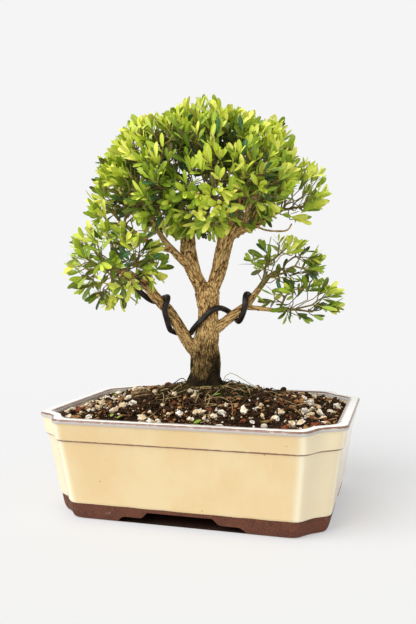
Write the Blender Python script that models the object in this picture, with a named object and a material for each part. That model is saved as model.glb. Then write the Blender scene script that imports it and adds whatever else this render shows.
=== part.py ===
"""A boxwood bonsai in a glazed stoneware pot, one object for each piece that it is made of.

Frame: metres, +Z up, the pot's long front face towards -Y, and the origin on the ground under the middle
of the pot. The tree is modelled in a frame of its own, with its best side towards -Y, and stands in the
pot turned by TREE_TURN. Limbs are tapering tubes along short routes. Each mass of foliage grows by one
seeded rule: targets scattered through its space are joined, nearest first, into one branching twig, and
every tip carries three crossed pairs of leaves.
"""

import math

import bmesh
import bpy
import numpy as np
from mathutils import Matrix, Vector, geometry

# ---------------------------------------------------------------- driving dimensions, in metres

GAP = 0.0003  # what touching pieces keep between them

POT_LENGTH = 0.250
POT_WIDTH = 0.181
POT_HEIGHT = 0.0822
CORNER_STEPS = 6
INNER_CUT = 0.0252  # the plain cut corner of the pot's mouth

# The pot's section, from the foot up the outside, over the rim and down the inside:
# (inset from the rim's edge, height, what the indented corner takes off each side there, how far the
# indent curves in past a straight cut)
POT_OUTSIDE = (
    (0.0190, 0.0, 0.0190, 0.0015),
    (0.0172, 0.0010, 0.0195, 0.0015),
    (0.0155, 0.0050, 0.0202, 0.0018),
    (0.0137, 0.0138, 0.0212, 0.0022),
    (0.0052, 0.0640, 0.0240, 0.0030),
    (0.0040, 0.0648, 0.0244, 0.0034),
    (0.0012, 0.0782, 0.0262, 0.0052),
    (0.0000, 0.0792, 0.0268, 0.0056),
    (0.0000, 0.0812, 0.0270, 0.0058),
    (0.0010, POT_HEIGHT, 0.0268, 0.0056),
)
POT_INSIDE = (
    (0.0088, POT_HEIGHT),
    (0.0096, 0.0812),
    (0.0112, 0.0720),
    (0.0205, 0.0230),
    (0.0240, 0.0180),
)

# Half of each foot arch, from the ground to its crown: (distance from the middle, height)
FRONT_ARCH = ((0.0525, 0.0), (0.0500, 0.0028), (0.0465, 0.0053), (0.0310, 0.0053), (0.0260, 0.0104))
SIDE_ARCH = ((0.0270, 0.0), (0.0250, 0.0028), (0.0220, 0.0053), (0.0150, 0.0053), (0.0110, 0.0104))
FOOT_THICKNESS = 0.020  # from the foot's outer edge to the hollow under the pot
HOLLOW_HEIGHT = 0.0080

SOIL_SEAT_HEIGHT = 0.0980  # where the trunk stands
SOIL_SEAT_RADIUS = 0.0200
SOIL_EDGE_HEIGHT = 0.0775
SOIL_SWELL = 1.25  # power of the mound's slope: 1 is a cone, more is rounder
SOIL_SEED = 3
SOIL_PITCH = 0.0094  # between the points of the mound's surface
SOIL_STRAY = 0.0018  # how far each of them strays from its row
SOIL_MARGIN = 0.0055  # what they keep from the mound's edge and its seat
SEAT_SIDES = 12
LUMP_HEIGHTS = (0.0024, 0.0038)
LUMPS_APART = 0.0160

TREE_TURN = math.radians(16.7)
ROUTE_STEP = 0.0085
LIMB_RESOLUTION = 2
TRUNK_RESOLUTION = 4

WIRE_RADIUS = 0.0024
WIRE_STEP = 0.0040
WIRE_LIFT = 0.0006  # between the wire and the bark under it
FINE_STEP = 0.0015  # between the points that stand for the limbs where distances are measured
PUSHES = 6  # how often the wire's points are moved clear of the limbs

# ---------------------------------------------------------------- the limbs, in the tree's frame
# name: (the limbs that it grows from or crosses, its route as rows of x, y, z and radius)

LIMBS = {
    "trunk": ((), (
        (-0.0012, 0.000, 0.0980, 0.0150),
        (-0.0011, 0.000, 0.1040, 0.0132),
        (-0.0004, 0.000, 0.1190, 0.0130),
        (-0.0010, 0.000, 0.1290, 0.0122),
        (0.0010, 0.000, 0.1410, 0.0103),
        (0.0024, 0.000, 0.1600, 0.0087),
        (0.0016, 0.000, 0.1790, 0.0105),
        (0.0022, 0.000, 0.1850, 0.0055))),
    "stem_left": (("trunk",), (
        (-0.0011, 0.000, 0.1780, 0.0060),
        (-0.0095, 0.003, 0.1949, 0.0063),
        (-0.0140, 0.005, 0.2130, 0.0072),
        (-0.0150, 0.009, 0.2340, 0.0052),
        (-0.0260, 0.008, 0.2560, 0.0036),
        (-0.0400, 0.005, 0.2720, 0.0026))),
    "stem_right": (("trunk", "stem_left"), (
        (0.0050, 0.000, 0.1780, 0.0060),
        (0.0113, -0.002, 0.1945, 0.0064),
        (0.0177, -0.004, 0.2210, 0.0068),
        (0.0270, -0.004, 0.2450, 0.0047),
        (0.0240, 0.001, 0.2680, 0.0032),
        (0.0100, 0.002, 0.2850, 0.0023))),
    "bough_low_left": (("trunk",), (
        (-0.0040, 0.000, 0.1230, 0.0058),
        (-0.0137, 0.000, 0.1329, 0.0054),
        (-0.0285, -0.004, 0.1590, 0.0048),
        (-0.0411, -0.007, 0.1735, 0.0045),
        (-0.0521, -0.009, 0.1872, 0.0040),
        (-0.0700, -0.010, 0.1959, 0.0028))),
    "bough_low_right": (("trunk",), (
        (0.0030, 0.000, 0.1420, 0.0050),
        (0.0130, -0.002, 0.1498, 0.0045),
        (0.0258, -0.005, 0.1600, 0.0039),
        (0.0355, -0.006, 0.1675, 0.0033),
        (0.0457, -0.006, 0.1807, 0.0025))),
    "bough_low_right_side": (("bough_low_right",), (
        (0.0310, -0.006, 0.1645, 0.0020),
        (0.0423, -0.008, 0.1641, 0.0021),
        (0.0561, -0.012, 0.1624, 0.0017))),
    "side_limb_left": (("stem_left",), (
        (-0.0130, 0.003, 0.2000, 0.0042),
        (-0.0227, -0.002, 0.2089, 0.0034),
        (-0.0355, -0.010, 0.2246, 0.0024),
        (-0.0460, -0.022, 0.2450, 0.0018))),
    "side_limb_left_low": (("side_limb_left",), (
        (-0.0275, -0.005, 0.2130, 0.0020),
        (-0.0410, -0.012, 0.2170, 0.0020),
        (-0.0600, -0.014, 0.2300, 0.0016))),
    "side_limb_right": (("stem_right",), (
        (0.0200, -0.004, 0.2240, 0.0046),
        (0.0301, -0.002, 0.2302, 0.0043),
        (0.0422, 0.000, 0.2344, 0.0033),
        (0.0618, 0.004, 0.2450, 0.0018))),
    "drooping_twig": (("side_limb_right",), (
        (0.0430, 0.000, 0.2340, 0.0010),
        (0.0530, -0.003, 0.2295, 0.0010),
        (0.0690, -0.004, 0.2290, 0.0009),
        (0.0740, -0.004, 0.2350, 0.0008))),
    "limb_upper_right": (("side_limb_right",), (
        (0.0400, -0.001, 0.2330, 0.0027),
        (0.0440, -0.003, 0.2500, 0.0026),
        (0.0420, -0.006, 0.2660, 0.0024),
        (0.0510, -0.005, 0.2860, 0.0019))),
    "limb_back_left": (("stem_left",), (
        (-0.0155, 0.009, 0.2360, 0.0030),
        (-0.0220, 0.026, 0.2500, 0.0025),
        (-0.0280, 0.038, 0.2590, 0.0019))),
    "limb_back_right": (("stem_right",), (
        (0.0268, -0.003, 0.2440, 0.0028),
        (0.0330, 0.016, 0.2560, 0.0024),
        (0.0370, 0.032, 0.2640, 0.0018))),
    "limb_front": (("stem_right",), (
        (0.0250, -0.004, 0.2380, 0.0026),
        (0.0160, -0.022, 0.2440, 0.0022),
        (0.0040, -0.036, 0.2500, 0.0017))),
    "limb_front_right": (("side_limb_right",), (
        (0.0330, -0.001, 0.2315, 0.0024),
        (0.0360, -0.018, 0.2460, 0.0021),
        (0.0410, -0.034, 0.2580, 0.0016))),
}

# The training wire's turns: how far along each limb from its foot, as a share, and the angle round it
# from the front, in degrees. It runs down the left bough, across the trunk and up the right bough.
WIRE_TURNS = {
    "bough_low_left": ((0.783, 130), (0.850, 56), (0.846, -10), (0.821, -75), (0.700, -108), (0.609, -152),
                       (0.575, -225), (0.563, -300), (0.525, -369), (0.440, -403), (0.360, -428),
                       (0.294, -488), (0.239, -532)),
    "trunk": ((0.500, -98), (0.581, -54), (0.678, -17), (0.752, 20), (0.760, 62)),
    "bough_low_right": ((0.420, -150), (0.424, -200), (0.457, -274), (0.560, -315), (0.660, -360),
                        (0.760, -412), (0.830, -470), (0.840, -550)),
}

# ---------------------------------------------------------------- the foliage, in the tree's frame

# The crown as a whole: its middle, and how far it reaches right, back and up, and left, forward and down
CROWN_MIDDLE = np.array((0.005, 0.0, 0.272))
CROWN_HALF = np.array((0.081, 0.076, 0.064))
CROWN_OTHER_HALF = np.array((0.097, 0.076, 0.050))

# mass: (the limb that carries it, its middle, half-widths of its own round form, whether it also fills
# the crown's form, twig tips, seed)
MASSES = {
    "foliage_low_left": (
        "bough_low_left", (-0.073, -0.010, 0.204), (0.045, 0.040, 0.040), False, 15, 11),
    "foliage_low_right_top": (
        "bough_low_right", (0.066, -0.006, 0.199), (0.036, 0.027, 0.026), False, 13, 12),
    "foliage_low_right_side": (
        "bough_low_right_side", (0.079, -0.012, 0.171), (0.037, 0.026, 0.021), False, 12, 13),
    "foliage_left": (
        "side_limb_left_low", (-0.070, -0.004, 0.252), (0.028, 0.036, 0.034), True, 10, 14),
    "foliage_upper_left": (
        "stem_left", (-0.046, 0.006, 0.302), (0.030, 0.030, 0.030), True, 9, 15),
    "foliage_top": (
        "stem_right", (0.002, 0.004, 0.316), (0.030, 0.034, 0.030), True, 9, 16),
    "foliage_upper_right": (
        "limb_upper_right", (0.052, -0.002, 0.303), (0.030, 0.030, 0.028), True, 8, 17),
    "foliage_right": (
        "side_limb_right", (0.080, 0.000, 0.262), (0.028, 0.034, 0.028), True, 7, 18),
    "foliage_front_left": (
        "side_limb_left", (-0.040, -0.042, 0.264), (0.030, 0.034, 0.034), True, 10, 19),
    "foliage_front": (
        "limb_front", (0.000, -0.048, 0.256), (0.030, 0.032, 0.038), True, 9, 20),
    "foliage_front_right": (
        "limb_front_right", (0.044, -0.042, 0.266), (0.030, 0.034, 0.030), True, 8, 21),
    "foliage_back_left": (
        "limb_back_left", (-0.030, 0.048, 0.268), (0.030, 0.032, 0.036), True, 10, 22),
    "foliage_back_right": (
        "limb_back_right", (0.038, 0.046, 0.268), (0.030, 0.032, 0.036), True, 9, 23),
}

MASS_MARGIN = 0.0004  # from a mass to the plane between it and the next
MASS_REACH = 0.075  # the furthest that a mass looks for a tip from its middle, along each axis
CANDIDATES = 24  # how many places are tried for each twig tip, to keep the tips apart
ROOM_ENOUGH = 0.050  # tips this far apart gain nothing more by their distance
DEEP_TIP = 0.25  # how much a tip's depth in the form counts against its room
TIP_DEPTH = 0.016  # how far inside its form a twig ends, so that its leaves reach the surface
TIP_FROM_PLANE = 0.004
TIP_FROM_LIMB = 0.005
OVERHANG = 0.003  # how far a leaf may stand out of its form
BALANCE = 0.35  # how much a long way back to the stem counts against a joint
BACKWARD = 0.6  # how much a sharp turn counts against a joint
STARTS = 8  # how many places on the twig are tried for a joint
WAY_MARKS = 6  # points along each step of a twig, by which its way is judged
BENDS = (0.35, 0.0)  # how far a twig first follows its parent, as shares of its length
STEM_LENGTH = 0.006  # the straight start of a mass's twig, at its limb
TWIG_STEP = 0.018
TWIG_TIP_RADIUS = 0.0009
FORK_SHARE = 0.8  # a side twig's radius where it starts inside its parent, as a share of its own
LEAF_LENGTH = 0.0250
LEAF_WIDTH = 0.0110
LEAF_TURNS = (0, 15, -15, 30, -30, 50, -50, 75, -75)  # ways round its twig that a leaf tries, in degrees
LEAF_MARKS = (0.2, 0.35, 0.5, 0.68, 0.85, 1.0)
LEAF_FREE = 6  # marks near the root, where leaves of one twig may lie close
LEAF_APART = 0.0025
LEAF_THICKNESS = 0.0010
LEAF_WIDEST = 0.68  # share of the length from the root to the widest place
PAIR_PLACES = (0.0014, 0.0080, 0.0150)  # how far back from the tip each pair of leaves sits
PAIR_SPLAYS = (math.radians(34), math.radians(54), math.radians(64))
PAIR_OFFSET = 0.0012  # between the roots of a pair, along the twig
TIP_WAY = (0.8, 0.7, 0.25)  # how far a tip's leaves point along the twig, out of the crown and up
LEAF_SUNK = 0.0004  # how far a leaf's root lies past the middle of its twig
LEAF_CLEAR = 0.0012  # between leaves or twigs and a limb


# ---------------------------------------------------------------- helpers


def clear_scene():
    for old in list(bpy.data.objects):
        bpy.data.objects.remove(old, do_unlink=True)
    for old in list(bpy.data.collections):
        bpy.data.collections.remove(old)


def new_collection(name):
    made = bpy.data.collections.new(name)
    bpy.context.scene.collection.children.link(made)
    return made


def new_material(name, colour, roughness, metallic=0.0):
    made = bpy.data.materials.new(name)
    made.use_nodes = True
    shader = made.node_tree.nodes["Principled BSDF"]
    shader.inputs["Base Color"].default_value = (*colour, 1.0)
    shader.inputs["Roughness"].default_value = roughness
    shader.inputs["Metallic"].default_value = metallic
    made.diffuse_color = (*colour, 1.0)
    return made


def new_object(name, data, collection, material=None):
    made = bpy.data.objects.new(name, data)
    collection.objects.link(made)
    if material:
        data.materials.clear()
        data.materials.append(material)
    return made


def as_mesh(name, shape):
    mesh = bpy.data.meshes.new(name)
    shape.to_mesh(mesh)
    shape.free()
    return mesh


def as_cutter(piece):
    piece.hide_render = True
    piece.display_type = "WIRE"
    return piece


def evaluated_mesh(piece):
    """The mesh of a curve, with its loose caps welded on, or of an object with its modifiers."""
    graph = bpy.context.evaluated_depsgraph_get()
    mesh = bpy.data.meshes.new_from_object(piece.evaluated_get(graph))
    if piece.type == "CURVE":
        shape = bmesh.new()
        shape.from_mesh(mesh)
        bmesh.ops.remove_doubles(shape, verts=shape.verts, dist=1e-6)
        bmesh.ops.recalc_face_normals(shape, faces=shape.faces)
        shape.to_mesh(mesh)
        shape.free()
    return mesh


def bake(piece):
    """Replaces an object by a mesh object of the same name with nothing left to evaluate."""
    name, collection = piece.name, piece.users_collection[0]
    mesh = evaluated_mesh(piece)
    bpy.data.objects.remove(piece, do_unlink=True)
    mesh.name = name
    return new_object(name, mesh, collection)


def islands(shape):
    """The connected pieces of a bmesh, each as a list of its faces."""
    left = set(shape.faces)
    found = []
    while left:
        reached = [left.pop()]
        for face in reached:
            for edge in face.edges:
                for other in edge.link_faces:
                    if other in left:
                        left.remove(other)
                        reached.append(other)
        found.append(reached)
    return found


def faces_volume(faces):
    """The volume that a closed set of faces encloses, negative where they face inwards."""
    total = 0.0
    for face in faces:
        corners = [loop.vert.co for loop in face.loops]
        for second, third in zip(corners[1:], corners[2:]):
            total += corners[0].dot(second.cross(third)) / 6
    return total


def keep_main_body(mesh):
    """Drops loose scraps, and fills sealed hollows by dropping their walls."""
    shape = bmesh.new()
    shape.from_mesh(mesh)
    found = sorted(islands(shape), key=faces_volume)
    loose = [face for island in found[:-1] for face in island]
    bmesh.ops.delete(shape, geom=loose, context="FACES")
    shape.to_mesh(mesh)
    shape.free()


def smooth_route(rows, step):
    """Rows of x, y, z and radius along a smooth curve through the given rows, about a step apart."""
    rows = np.array(rows, float)
    ends = np.vstack((2 * rows[0] - rows[1], rows, 2 * rows[-1] - rows[-2]))
    found = [rows[0]]
    for before, start, stop, after in zip(ends, ends[1:], ends[2:], ends[3:]):
        count = max(1, round(np.linalg.norm((stop - start)[:3]) / step))
        for k in range(1, count + 1):
            t = k / count
            found.append(0.5 * (2 * start + (stop - before) * t
                                + (2 * before - 5 * start + 4 * stop - after) * t ** 2
                                + (3 * start - before - 3 * stop + after) * t ** 3))
    return np.array(found)


def tube(name, rows, collection, resolution=LIMB_RESOLUTION, profile=None):
    """A tapering tube along rows of x, y, z and radius, round or with another curve as its profile."""
    curve = bpy.data.curves.new(name, "CURVE")
    curve.dimensions = "3D"
    curve.use_fill_caps = True
    if profile:
        curve.bevel_mode = "OBJECT"
        curve.bevel_object = profile
    else:
        curve.bevel_depth = 1.0
        curve.bevel_resolution = resolution
    spline = curve.splines.new("POLY")
    spline.points.add(len(rows) - 1)
    for point, (x, y, z, radius) in zip(spline.points, rows):
        point.co = (x, y, z, 1.0)
        point.radius = radius
    return bake(new_object(name, curve, collection))


def flat_prism(name, outline, thickness, collection):
    """An outline in x and y, made a slab from -thickness / 2 to thickness / 2 along Z."""
    curve = bpy.data.curves.new(name, "CURVE")
    curve.dimensions = "2D"
    curve.fill_mode = "BOTH"
    curve.extrude = thickness / 2
    spline = curve.splines.new("POLY")
    spline.points.add(len(outline) - 1)
    for point, (x, y) in zip(spline.points, outline):
        point.co = (x, y, 0.0, 1.0)
    spline.use_cyclic_u = True
    return bake(new_object(name, curve, collection))


def loft(name, rings, collection, material):
    """A closed skin over rings of equally many points, flat over the first and the last."""
    shape = bmesh.new()
    rows = [[shape.verts.new(point) for point in ring] for ring in rings]
    for lower, upper in zip(rows, rows[1:]):
        for k in range(len(lower)):
            after = (k + 1) % len(lower)
            shape.faces.new((lower[k], lower[after], upper[after], upper[k]))
    shape.faces.new(list(reversed(rows[0])))
    shape.faces.new(rows[-1])
    bmesh.ops.recalc_face_normals(shape, faces=shape.faces)
    return new_object(name, as_mesh(name, shape), collection, material)


def boolean(piece, operation, operand, solver="EXACT"):
    modifier = piece.modifiers.new(operation.title(), "BOOLEAN")
    modifier.operation = operation
    modifier.solver = solver
    if isinstance(operand, bpy.types.Collection):
        modifier.operand_type = "COLLECTION"
        modifier.collection = operand
    else:
        modifier.object = operand


# ---------------------------------------------------------------- pot and soil


def corner_curve(cut, bow):
    """The indented corner, as distances in from the two sides that would meet there."""
    points = []
    for k in range(CORNER_STEPS + 1):
        t = k / CORNER_STEPS
        inward = bow * math.sin(math.pi * t) ** 2 / math.sqrt(2)
        points.append((cut * (1 - t) + inward, cut * t + inward))
    return points


def pot_ring(inset, height, cut, bow):
    """The pot's outline at one height, anticlockwise from its front right corner."""
    half_x = POT_LENGTH / 2 - inset
    half_y = POT_WIDTH / 2 - inset
    ring = []
    for side_x, side_y in ((1, -1), (1, 1), (-1, 1), (-1, -1)):
        corner = corner_curve(cut, bow)
        if side_x * side_y > 0:
            corner.reverse()
        ring += [(side_x * (half_x - a), side_y * (half_y - b), height) for a, b in corner]
    return ring


def arch_cutter(name, half_arch, length, along_y, cutters):
    """A foot arch's section, run right through under the pot."""
    below = [(half_arch[0][0], -0.002), *half_arch]
    outline = below + [(-x, z) for x, z in reversed(below)]
    cutter = flat_prism(name, outline, length, cutters)
    stand = Matrix.Rotation(math.pi / 2, 4, "X")
    turn = Matrix.Identity(4) if along_y else Matrix.Rotation(math.pi / 2, 4, "Z")
    cutter.data.transform(turn @ stand)
    return as_cutter(cutter)


def make_pot(parts, cutters, material):
    rings = [pot_ring(*row) for row in POT_OUTSIDE]
    rings += [pot_ring(inset, z, INNER_CUT, 0.0) for inset, z in POT_INSIDE]
    pot = loft("pot", rings, parts, material)
    hollow_x = POT_LENGTH / 2 - POT_OUTSIDE[0][0] - FOOT_THICKNESS
    hollow_y = POT_WIDTH / 2 - POT_OUTSIDE[0][0] - FOOT_THICKNESS
    shape = bmesh.new()
    bmesh.ops.create_cube(shape, size=1.0)
    bmesh.ops.scale(shape, vec=(2 * hollow_x, 2 * hollow_y, 2 * HOLLOW_HEIGHT), verts=shape.verts)
    hollow = as_cutter(new_object("cut_hollow", as_mesh("cut_hollow", shape), cutters))
    for cutter in (arch_cutter("cut_front_arch", FRONT_ARCH, 2 * POT_WIDTH, True, cutters),
                   arch_cutter("cut_side_arch", SIDE_ARCH, 2 * POT_LENGTH, False, cutters),
                   hollow):
        boolean(pot, "DIFFERENCE", cutter)


def mound_points(edge_inset):
    """Points over the mound between its edge and its seat, with lumps of coarse grain among them."""
    rng = np.random.default_rng(SOIL_SEED)
    half_x, half_y = POT_LENGTH / 2 - edge_inset, POT_WIDTH / 2 - edge_inset
    points, lumps = [], []
    count = int(half_x / SOIL_PITCH)
    for row in range(-count, count + 1):
        for column in range(-count, count + 1):
            x, y = np.array((column + row % 2 / 2, row * math.sqrt(0.75))) * SOIL_PITCH
            x, y = (x, y) + rng.uniform(-SOIL_STRAY, SOIL_STRAY, 2)
            away = math.hypot(x, y)
            reach = away / max(abs(x) / half_x, abs(y) / half_y,
                               (abs(x) + abs(y)) / (half_x + half_y - INNER_CUT))
            if SOIL_SEAT_RADIUS + SOIL_MARGIN < away < reach - SOIL_MARGIN:
                slope = ((away - SOIL_SEAT_RADIUS) / (reach - SOIL_SEAT_RADIUS)) ** SOIL_SWELL
                points.append([x, y, SOIL_SEAT_HEIGHT - slope * (SOIL_SEAT_HEIGHT - SOIL_EDGE_HEIGHT)])
    for k in rng.permutation(len(points)):
        if all(math.dist(points[k][:2], points[other][:2]) > LUMPS_APART for other in lumps):
            lumps.append(k)
    for k in lumps:
        points[k][2] += rng.uniform(*LUMP_HEIGHTS)
    return points


def make_soil(parts, material):
    """The filling: the pot's inner form, a gap smaller, under a low lumpy mound with a flat seat."""
    inner = [(inset, z) for inset, z in POT_INSIDE if z < SOIL_EDGE_HEIGHT]
    edge_inset = 2 * GAP + float(np.interp(SOIL_EDGE_HEIGHT, [inner[0][1], POT_INSIDE[1][1]],
                                           [inner[0][0], POT_INSIDE[1][0]]))
    rings = [pot_ring(inset + 2 * GAP, z + GAP, INNER_CUT, 0.0) for inset, z in reversed(inner)]
    rings.append(pot_ring(edge_inset, SOIL_EDGE_HEIGHT, INNER_CUT, 0.0))
    shape = bmesh.new()
    rows = [[shape.verts.new(point) for point in ring] for ring in rings]
    for lower, upper in zip(rows, rows[1:]):
        for k in range(len(lower)):
            after = (k + 1) % len(lower)
            shape.faces.new((lower[k], lower[after], upper[after], upper[k]))
    shape.faces.new(list(reversed(rows[0])))
    for edge in [edge for edge in shape.edges if edge.is_boundary]:
        steps = round(edge.calc_length() / SOIL_PITCH)
        if steps > 1:
            bmesh.ops.subdivide_edges(shape, edges=[edge], cuts=steps - 1, use_single_edge=True)

    brim = [corner for corner in shape.verts if corner.is_boundary]
    order = {corner: k for k, corner in enumerate(brim)}
    sides = [[order[corner] for corner in edge.verts] for edge in shape.edges if edge.is_boundary]
    turns = [k * math.tau / SEAT_SIDES for k in range(SEAT_SIDES)]
    seat = [(SOIL_SEAT_RADIUS * math.cos(t), SOIL_SEAT_RADIUS * math.sin(t), SOIL_SEAT_HEIGHT - GAP)
            for t in turns]
    corners = brim + [shape.verts.new(point) for point in seat + mound_points(edge_inset)]
    flat = [Vector(corner.co[:2]) for corner in corners]
    _, _, triangles, origins, _, _ = geometry.delaunay_2d_cdt(flat, sides, [], 1, 1e-7)
    for triangle in triangles:
        shape.faces.new([corners[origins[k][0]] for k in triangle])
    bmesh.ops.recalc_face_normals(shape, faces=shape.faces)
    new_object("soil", as_mesh("soil", shape), parts, material)


# ---------------------------------------------------------------- limbs and wire


def limb_rows(name):
    return smooth_route(LIMBS[name][1], ROUTE_STEP)


def make_limb(name, parts, cutters, material):
    """A tapering limb, cut off clear of the limbs that it grows from."""
    resolution = TRUNK_RESOLUTION if name == "trunk" else LIMB_RESOLUTION
    limb = tube(name, limb_rows(name), parts, resolution)
    for other in LIMBS[name][0]:
        around = limb_rows(other)
        around[:, 3] += GAP * 1.2
        other_resolution = TRUNK_RESOLUTION if other == "trunk" else LIMB_RESOLUTION
        cutter = tube("cut_" + other, around, cutters, other_resolution)
        boolean(limb, "DIFFERENCE", cutter)
        limb = bake(limb)
        bpy.data.objects.remove(cutter, do_unlink=True)
    keep_main_body(limb.data)
    limb.data.materials.append(material)
    limb.data.shade_smooth()
    limb.data.set_sharp_from_angle(angle=math.radians(50))


def place_on_limb(name, share, angle, lift):
    """The point at a share of a limb's length, at an angle round it from the front, a lift off its bark."""
    rows = smooth_route(LIMBS[name][1], ROUTE_STEP / 4)
    runs = np.linalg.norm(np.diff(rows[:, :3], axis=0), axis=1)
    lengths = np.concatenate(([0], np.cumsum(runs)))
    at = share * lengths[-1]
    here = np.array([np.interp(at, lengths, rows[:, k]) for k in range(4)])
    k = min(int(np.searchsorted(lengths, at)), len(rows) - 1)
    along = Vector(rows[k, :3] - rows[k - 1, :3]).normalized()
    front = Vector((0, -1, 0))
    front = (front - along * front.dot(along)).normalized()
    side = along.cross(front)
    out = front * math.cos(angle) + side * math.sin(angle)
    return here[:3] + np.array(out) * (here[3] + lift)


def pushed_clear(points, clearance, solid_points, solid_radii):
    """Points moved straight out of any limb that they lie closer to than the clearance."""
    points = points.copy()
    for _ in range(PUSHES):
        for k, point in enumerate(points):
            away = point - solid_points
            depth = np.linalg.norm(away, axis=1) - solid_radii
            nearest = int(np.argmin(depth))
            if depth[nearest] < clearance:
                out = away[nearest] / np.linalg.norm(away[nearest])
                points[k] = point + out * (clearance - depth[nearest])
    return points


def wire_route(solid_points, solid_radii):
    turns = [place_on_limb(name, share, math.radians(degrees), WIRE_RADIUS + WIRE_LIFT)
             for name, stretch in WIRE_TURNS.items() for share, degrees in stretch]
    rows = [(*place, WIRE_RADIUS) for place in turns]
    route = smooth_route(rows, WIRE_STEP)
    route[:, :3] = pushed_clear(route[:, :3], WIRE_RADIUS + WIRE_LIFT, solid_points, solid_radii)
    return route


# ---------------------------------------------------------------- foliage


class Space:
    """Where one mass may grow: inside its form, on its side of the planes to the other masses, and
    clear of every limb."""

    def __init__(self, name, solid_points, solid_radii):
        _, middle, half, fills_crown, _, _ = MASSES[name]
        self.middle = np.array(middle)
        self.half = np.array(half)
        self.fills_crown = fills_crown
        self.others = np.array([other[1] for key, other in MASSES.items() if key != name])
        self.solid_points = solid_points
        self.solid_radii = solid_radii

    def depth_in_form(self, points):
        """How far each point lies inside the form, about, in metres."""
        own = np.linalg.norm((points - self.middle) / self.half, axis=-1)
        depth = (1 - own) * self.half.mean()
        if self.fills_crown:
            offset = points - CROWN_MIDDLE
            half = np.where(offset < 0, CROWN_OTHER_HALF, CROWN_HALF)
            whole = np.linalg.norm(offset / half, axis=-1)
            depth = np.maximum(depth, (1 - whole) * half.mean(axis=-1))
        return depth

    def plane_distance(self, points):
        """How far each point lies on its own side of the nearest plane."""
        towards = self.others - self.middle
        span = np.linalg.norm(towards, axis=1)
        along = (points - self.middle) @ (towards / span[:, None]).T
        return (span / 2 - along).min(axis=-1)

    def limb_distance(self, points):
        away = np.linalg.norm(points[:, None, :] - self.solid_points[None], axis=2)
        return (away - self.solid_radii).min(axis=1)

    def holds(self, points, inset, plane_inset=MASS_MARGIN):
        points = np.atleast_2d(points)
        return bool((self.depth_in_form(points) > inset).all()
                    and (self.plane_distance(points) > plane_inset).all())


def scatter(space, count, rng):
    """Twig tips spread through a space, each the best of several places at keeping its distance."""
    reach = np.abs(space.others - space.middle).max(axis=0) if space.fills_crown else space.half
    found = []
    while len(found) < count:
        best, best_room = None, -1.0
        tries = 0
        while tries < CANDIDATES:
            point = space.middle + rng.uniform(-1, 1, 3) * np.minimum(reach, MASS_REACH)
            if not space.holds(point, TIP_DEPTH, TIP_FROM_PLANE):
                continue
            if space.limb_distance(point[None])[0] < TIP_FROM_LIMB:
                continue
            tries += 1
            depth = float(space.depth_in_form(point))
            room = min((np.linalg.norm(point - other) for other in found), default=1.0)
            room = min(room, ROOM_ENOUGH) - DEEP_TIP * (depth - TIP_DEPTH)
            if room > best_room:
                best, best_room = point, room
        found.append(best)
    return found


class Twig:
    """One branching twig as joined points, each with the way back to its parent."""

    def __init__(self, base, heading):
        self.points = [base, base + heading * STEM_LENGTH]
        self.parents = [-1, 0]
        self.paths = [0.0, STEM_LENGTH]

    def heading(self, k):
        way = self.points[k] - self.points[self.parents[k]]
        return way / np.linalg.norm(way)

    def join(self, target, space):
        """Grows to a target from the point that serves it best and has a clear way there."""
        costs = []
        for k in range(1, len(self.points)):
            way = target - self.points[k]
            length = max(np.linalg.norm(way), 1e-9)
            turn = 1 - way @ self.heading(k) / length
            costs.append(length * (1 + BACKWARD * turn) + BALANCE * self.paths[k])
        for start in 1 + np.argsort(costs)[:STARTS]:
            for bend in BENDS:
                route = self.way(int(start), target, bend)
                if self.is_clear(int(start), route, space):
                    self.add(int(start), route)
                    return

    def way(self, start, target, bend):
        """A curve to the target that leaves a point along its heading, in steps."""
        origin = self.points[start]
        length = np.linalg.norm(target - origin)
        bend = origin + self.heading(start) * length * bend
        count = max(1, round(length / TWIG_STEP))
        shares = [k / count for k in range(1, count + 1)]
        return [(1 - t) ** 2 * origin + 2 * t * (1 - t) * bend + t ** 2 * target for t in shares]

    def is_clear(self, start, route, space):
        corners = [self.points[start], *route]
        line = np.vstack([np.linspace(a, b, WAY_MARKS)[1:] for a, b in zip(corners, corners[1:])])
        away = line[np.linalg.norm(line - self.points[0], axis=1) > STEM_LENGTH]
        if len(away) == 0:
            return False
        return (space.limb_distance(away).min() > LEAF_CLEAR + TWIG_TIP_RADIUS
                and space.plane_distance(away).min() > MASS_MARGIN + 2 * TWIG_TIP_RADIUS)

    def add(self, start, route):
        for point in route:
            self.points.append(point)
            self.parents.append(start)
            step = np.linalg.norm(point - self.points[start])
            self.paths.append(self.paths[start] + step)
            start = len(self.points) - 1

    def tips_beyond(self):
        """For each point, how many tips it feeds."""
        counts = [0] * len(self.points)
        with_children = set(self.parents)
        for k in range(len(self.points) - 1, -1, -1):
            if k not in with_children:
                counts[k] = 1
            if self.parents[k] >= 0:
                counts[self.parents[k]] += counts[k]
        return counts

    def chains(self):
        """The twig as runs of points, each from its fork to a tip, the stoutest way first."""
        counts = self.tips_beyond()
        children = {}
        for k, parent in enumerate(self.parents):
            children.setdefault(parent, []).append(k)
        found = []
        starts = [(0, [0])]
        while starts:
            _, run = starts.pop()
            here = run[-1]
            while here in children:
                ways = sorted(children[here], key=lambda k: -counts[k])
                starts += [(k, [here, k]) for k in ways[1:]]
                here = ways[0]
                run.append(here)
            found.append(run)
        return found


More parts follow.
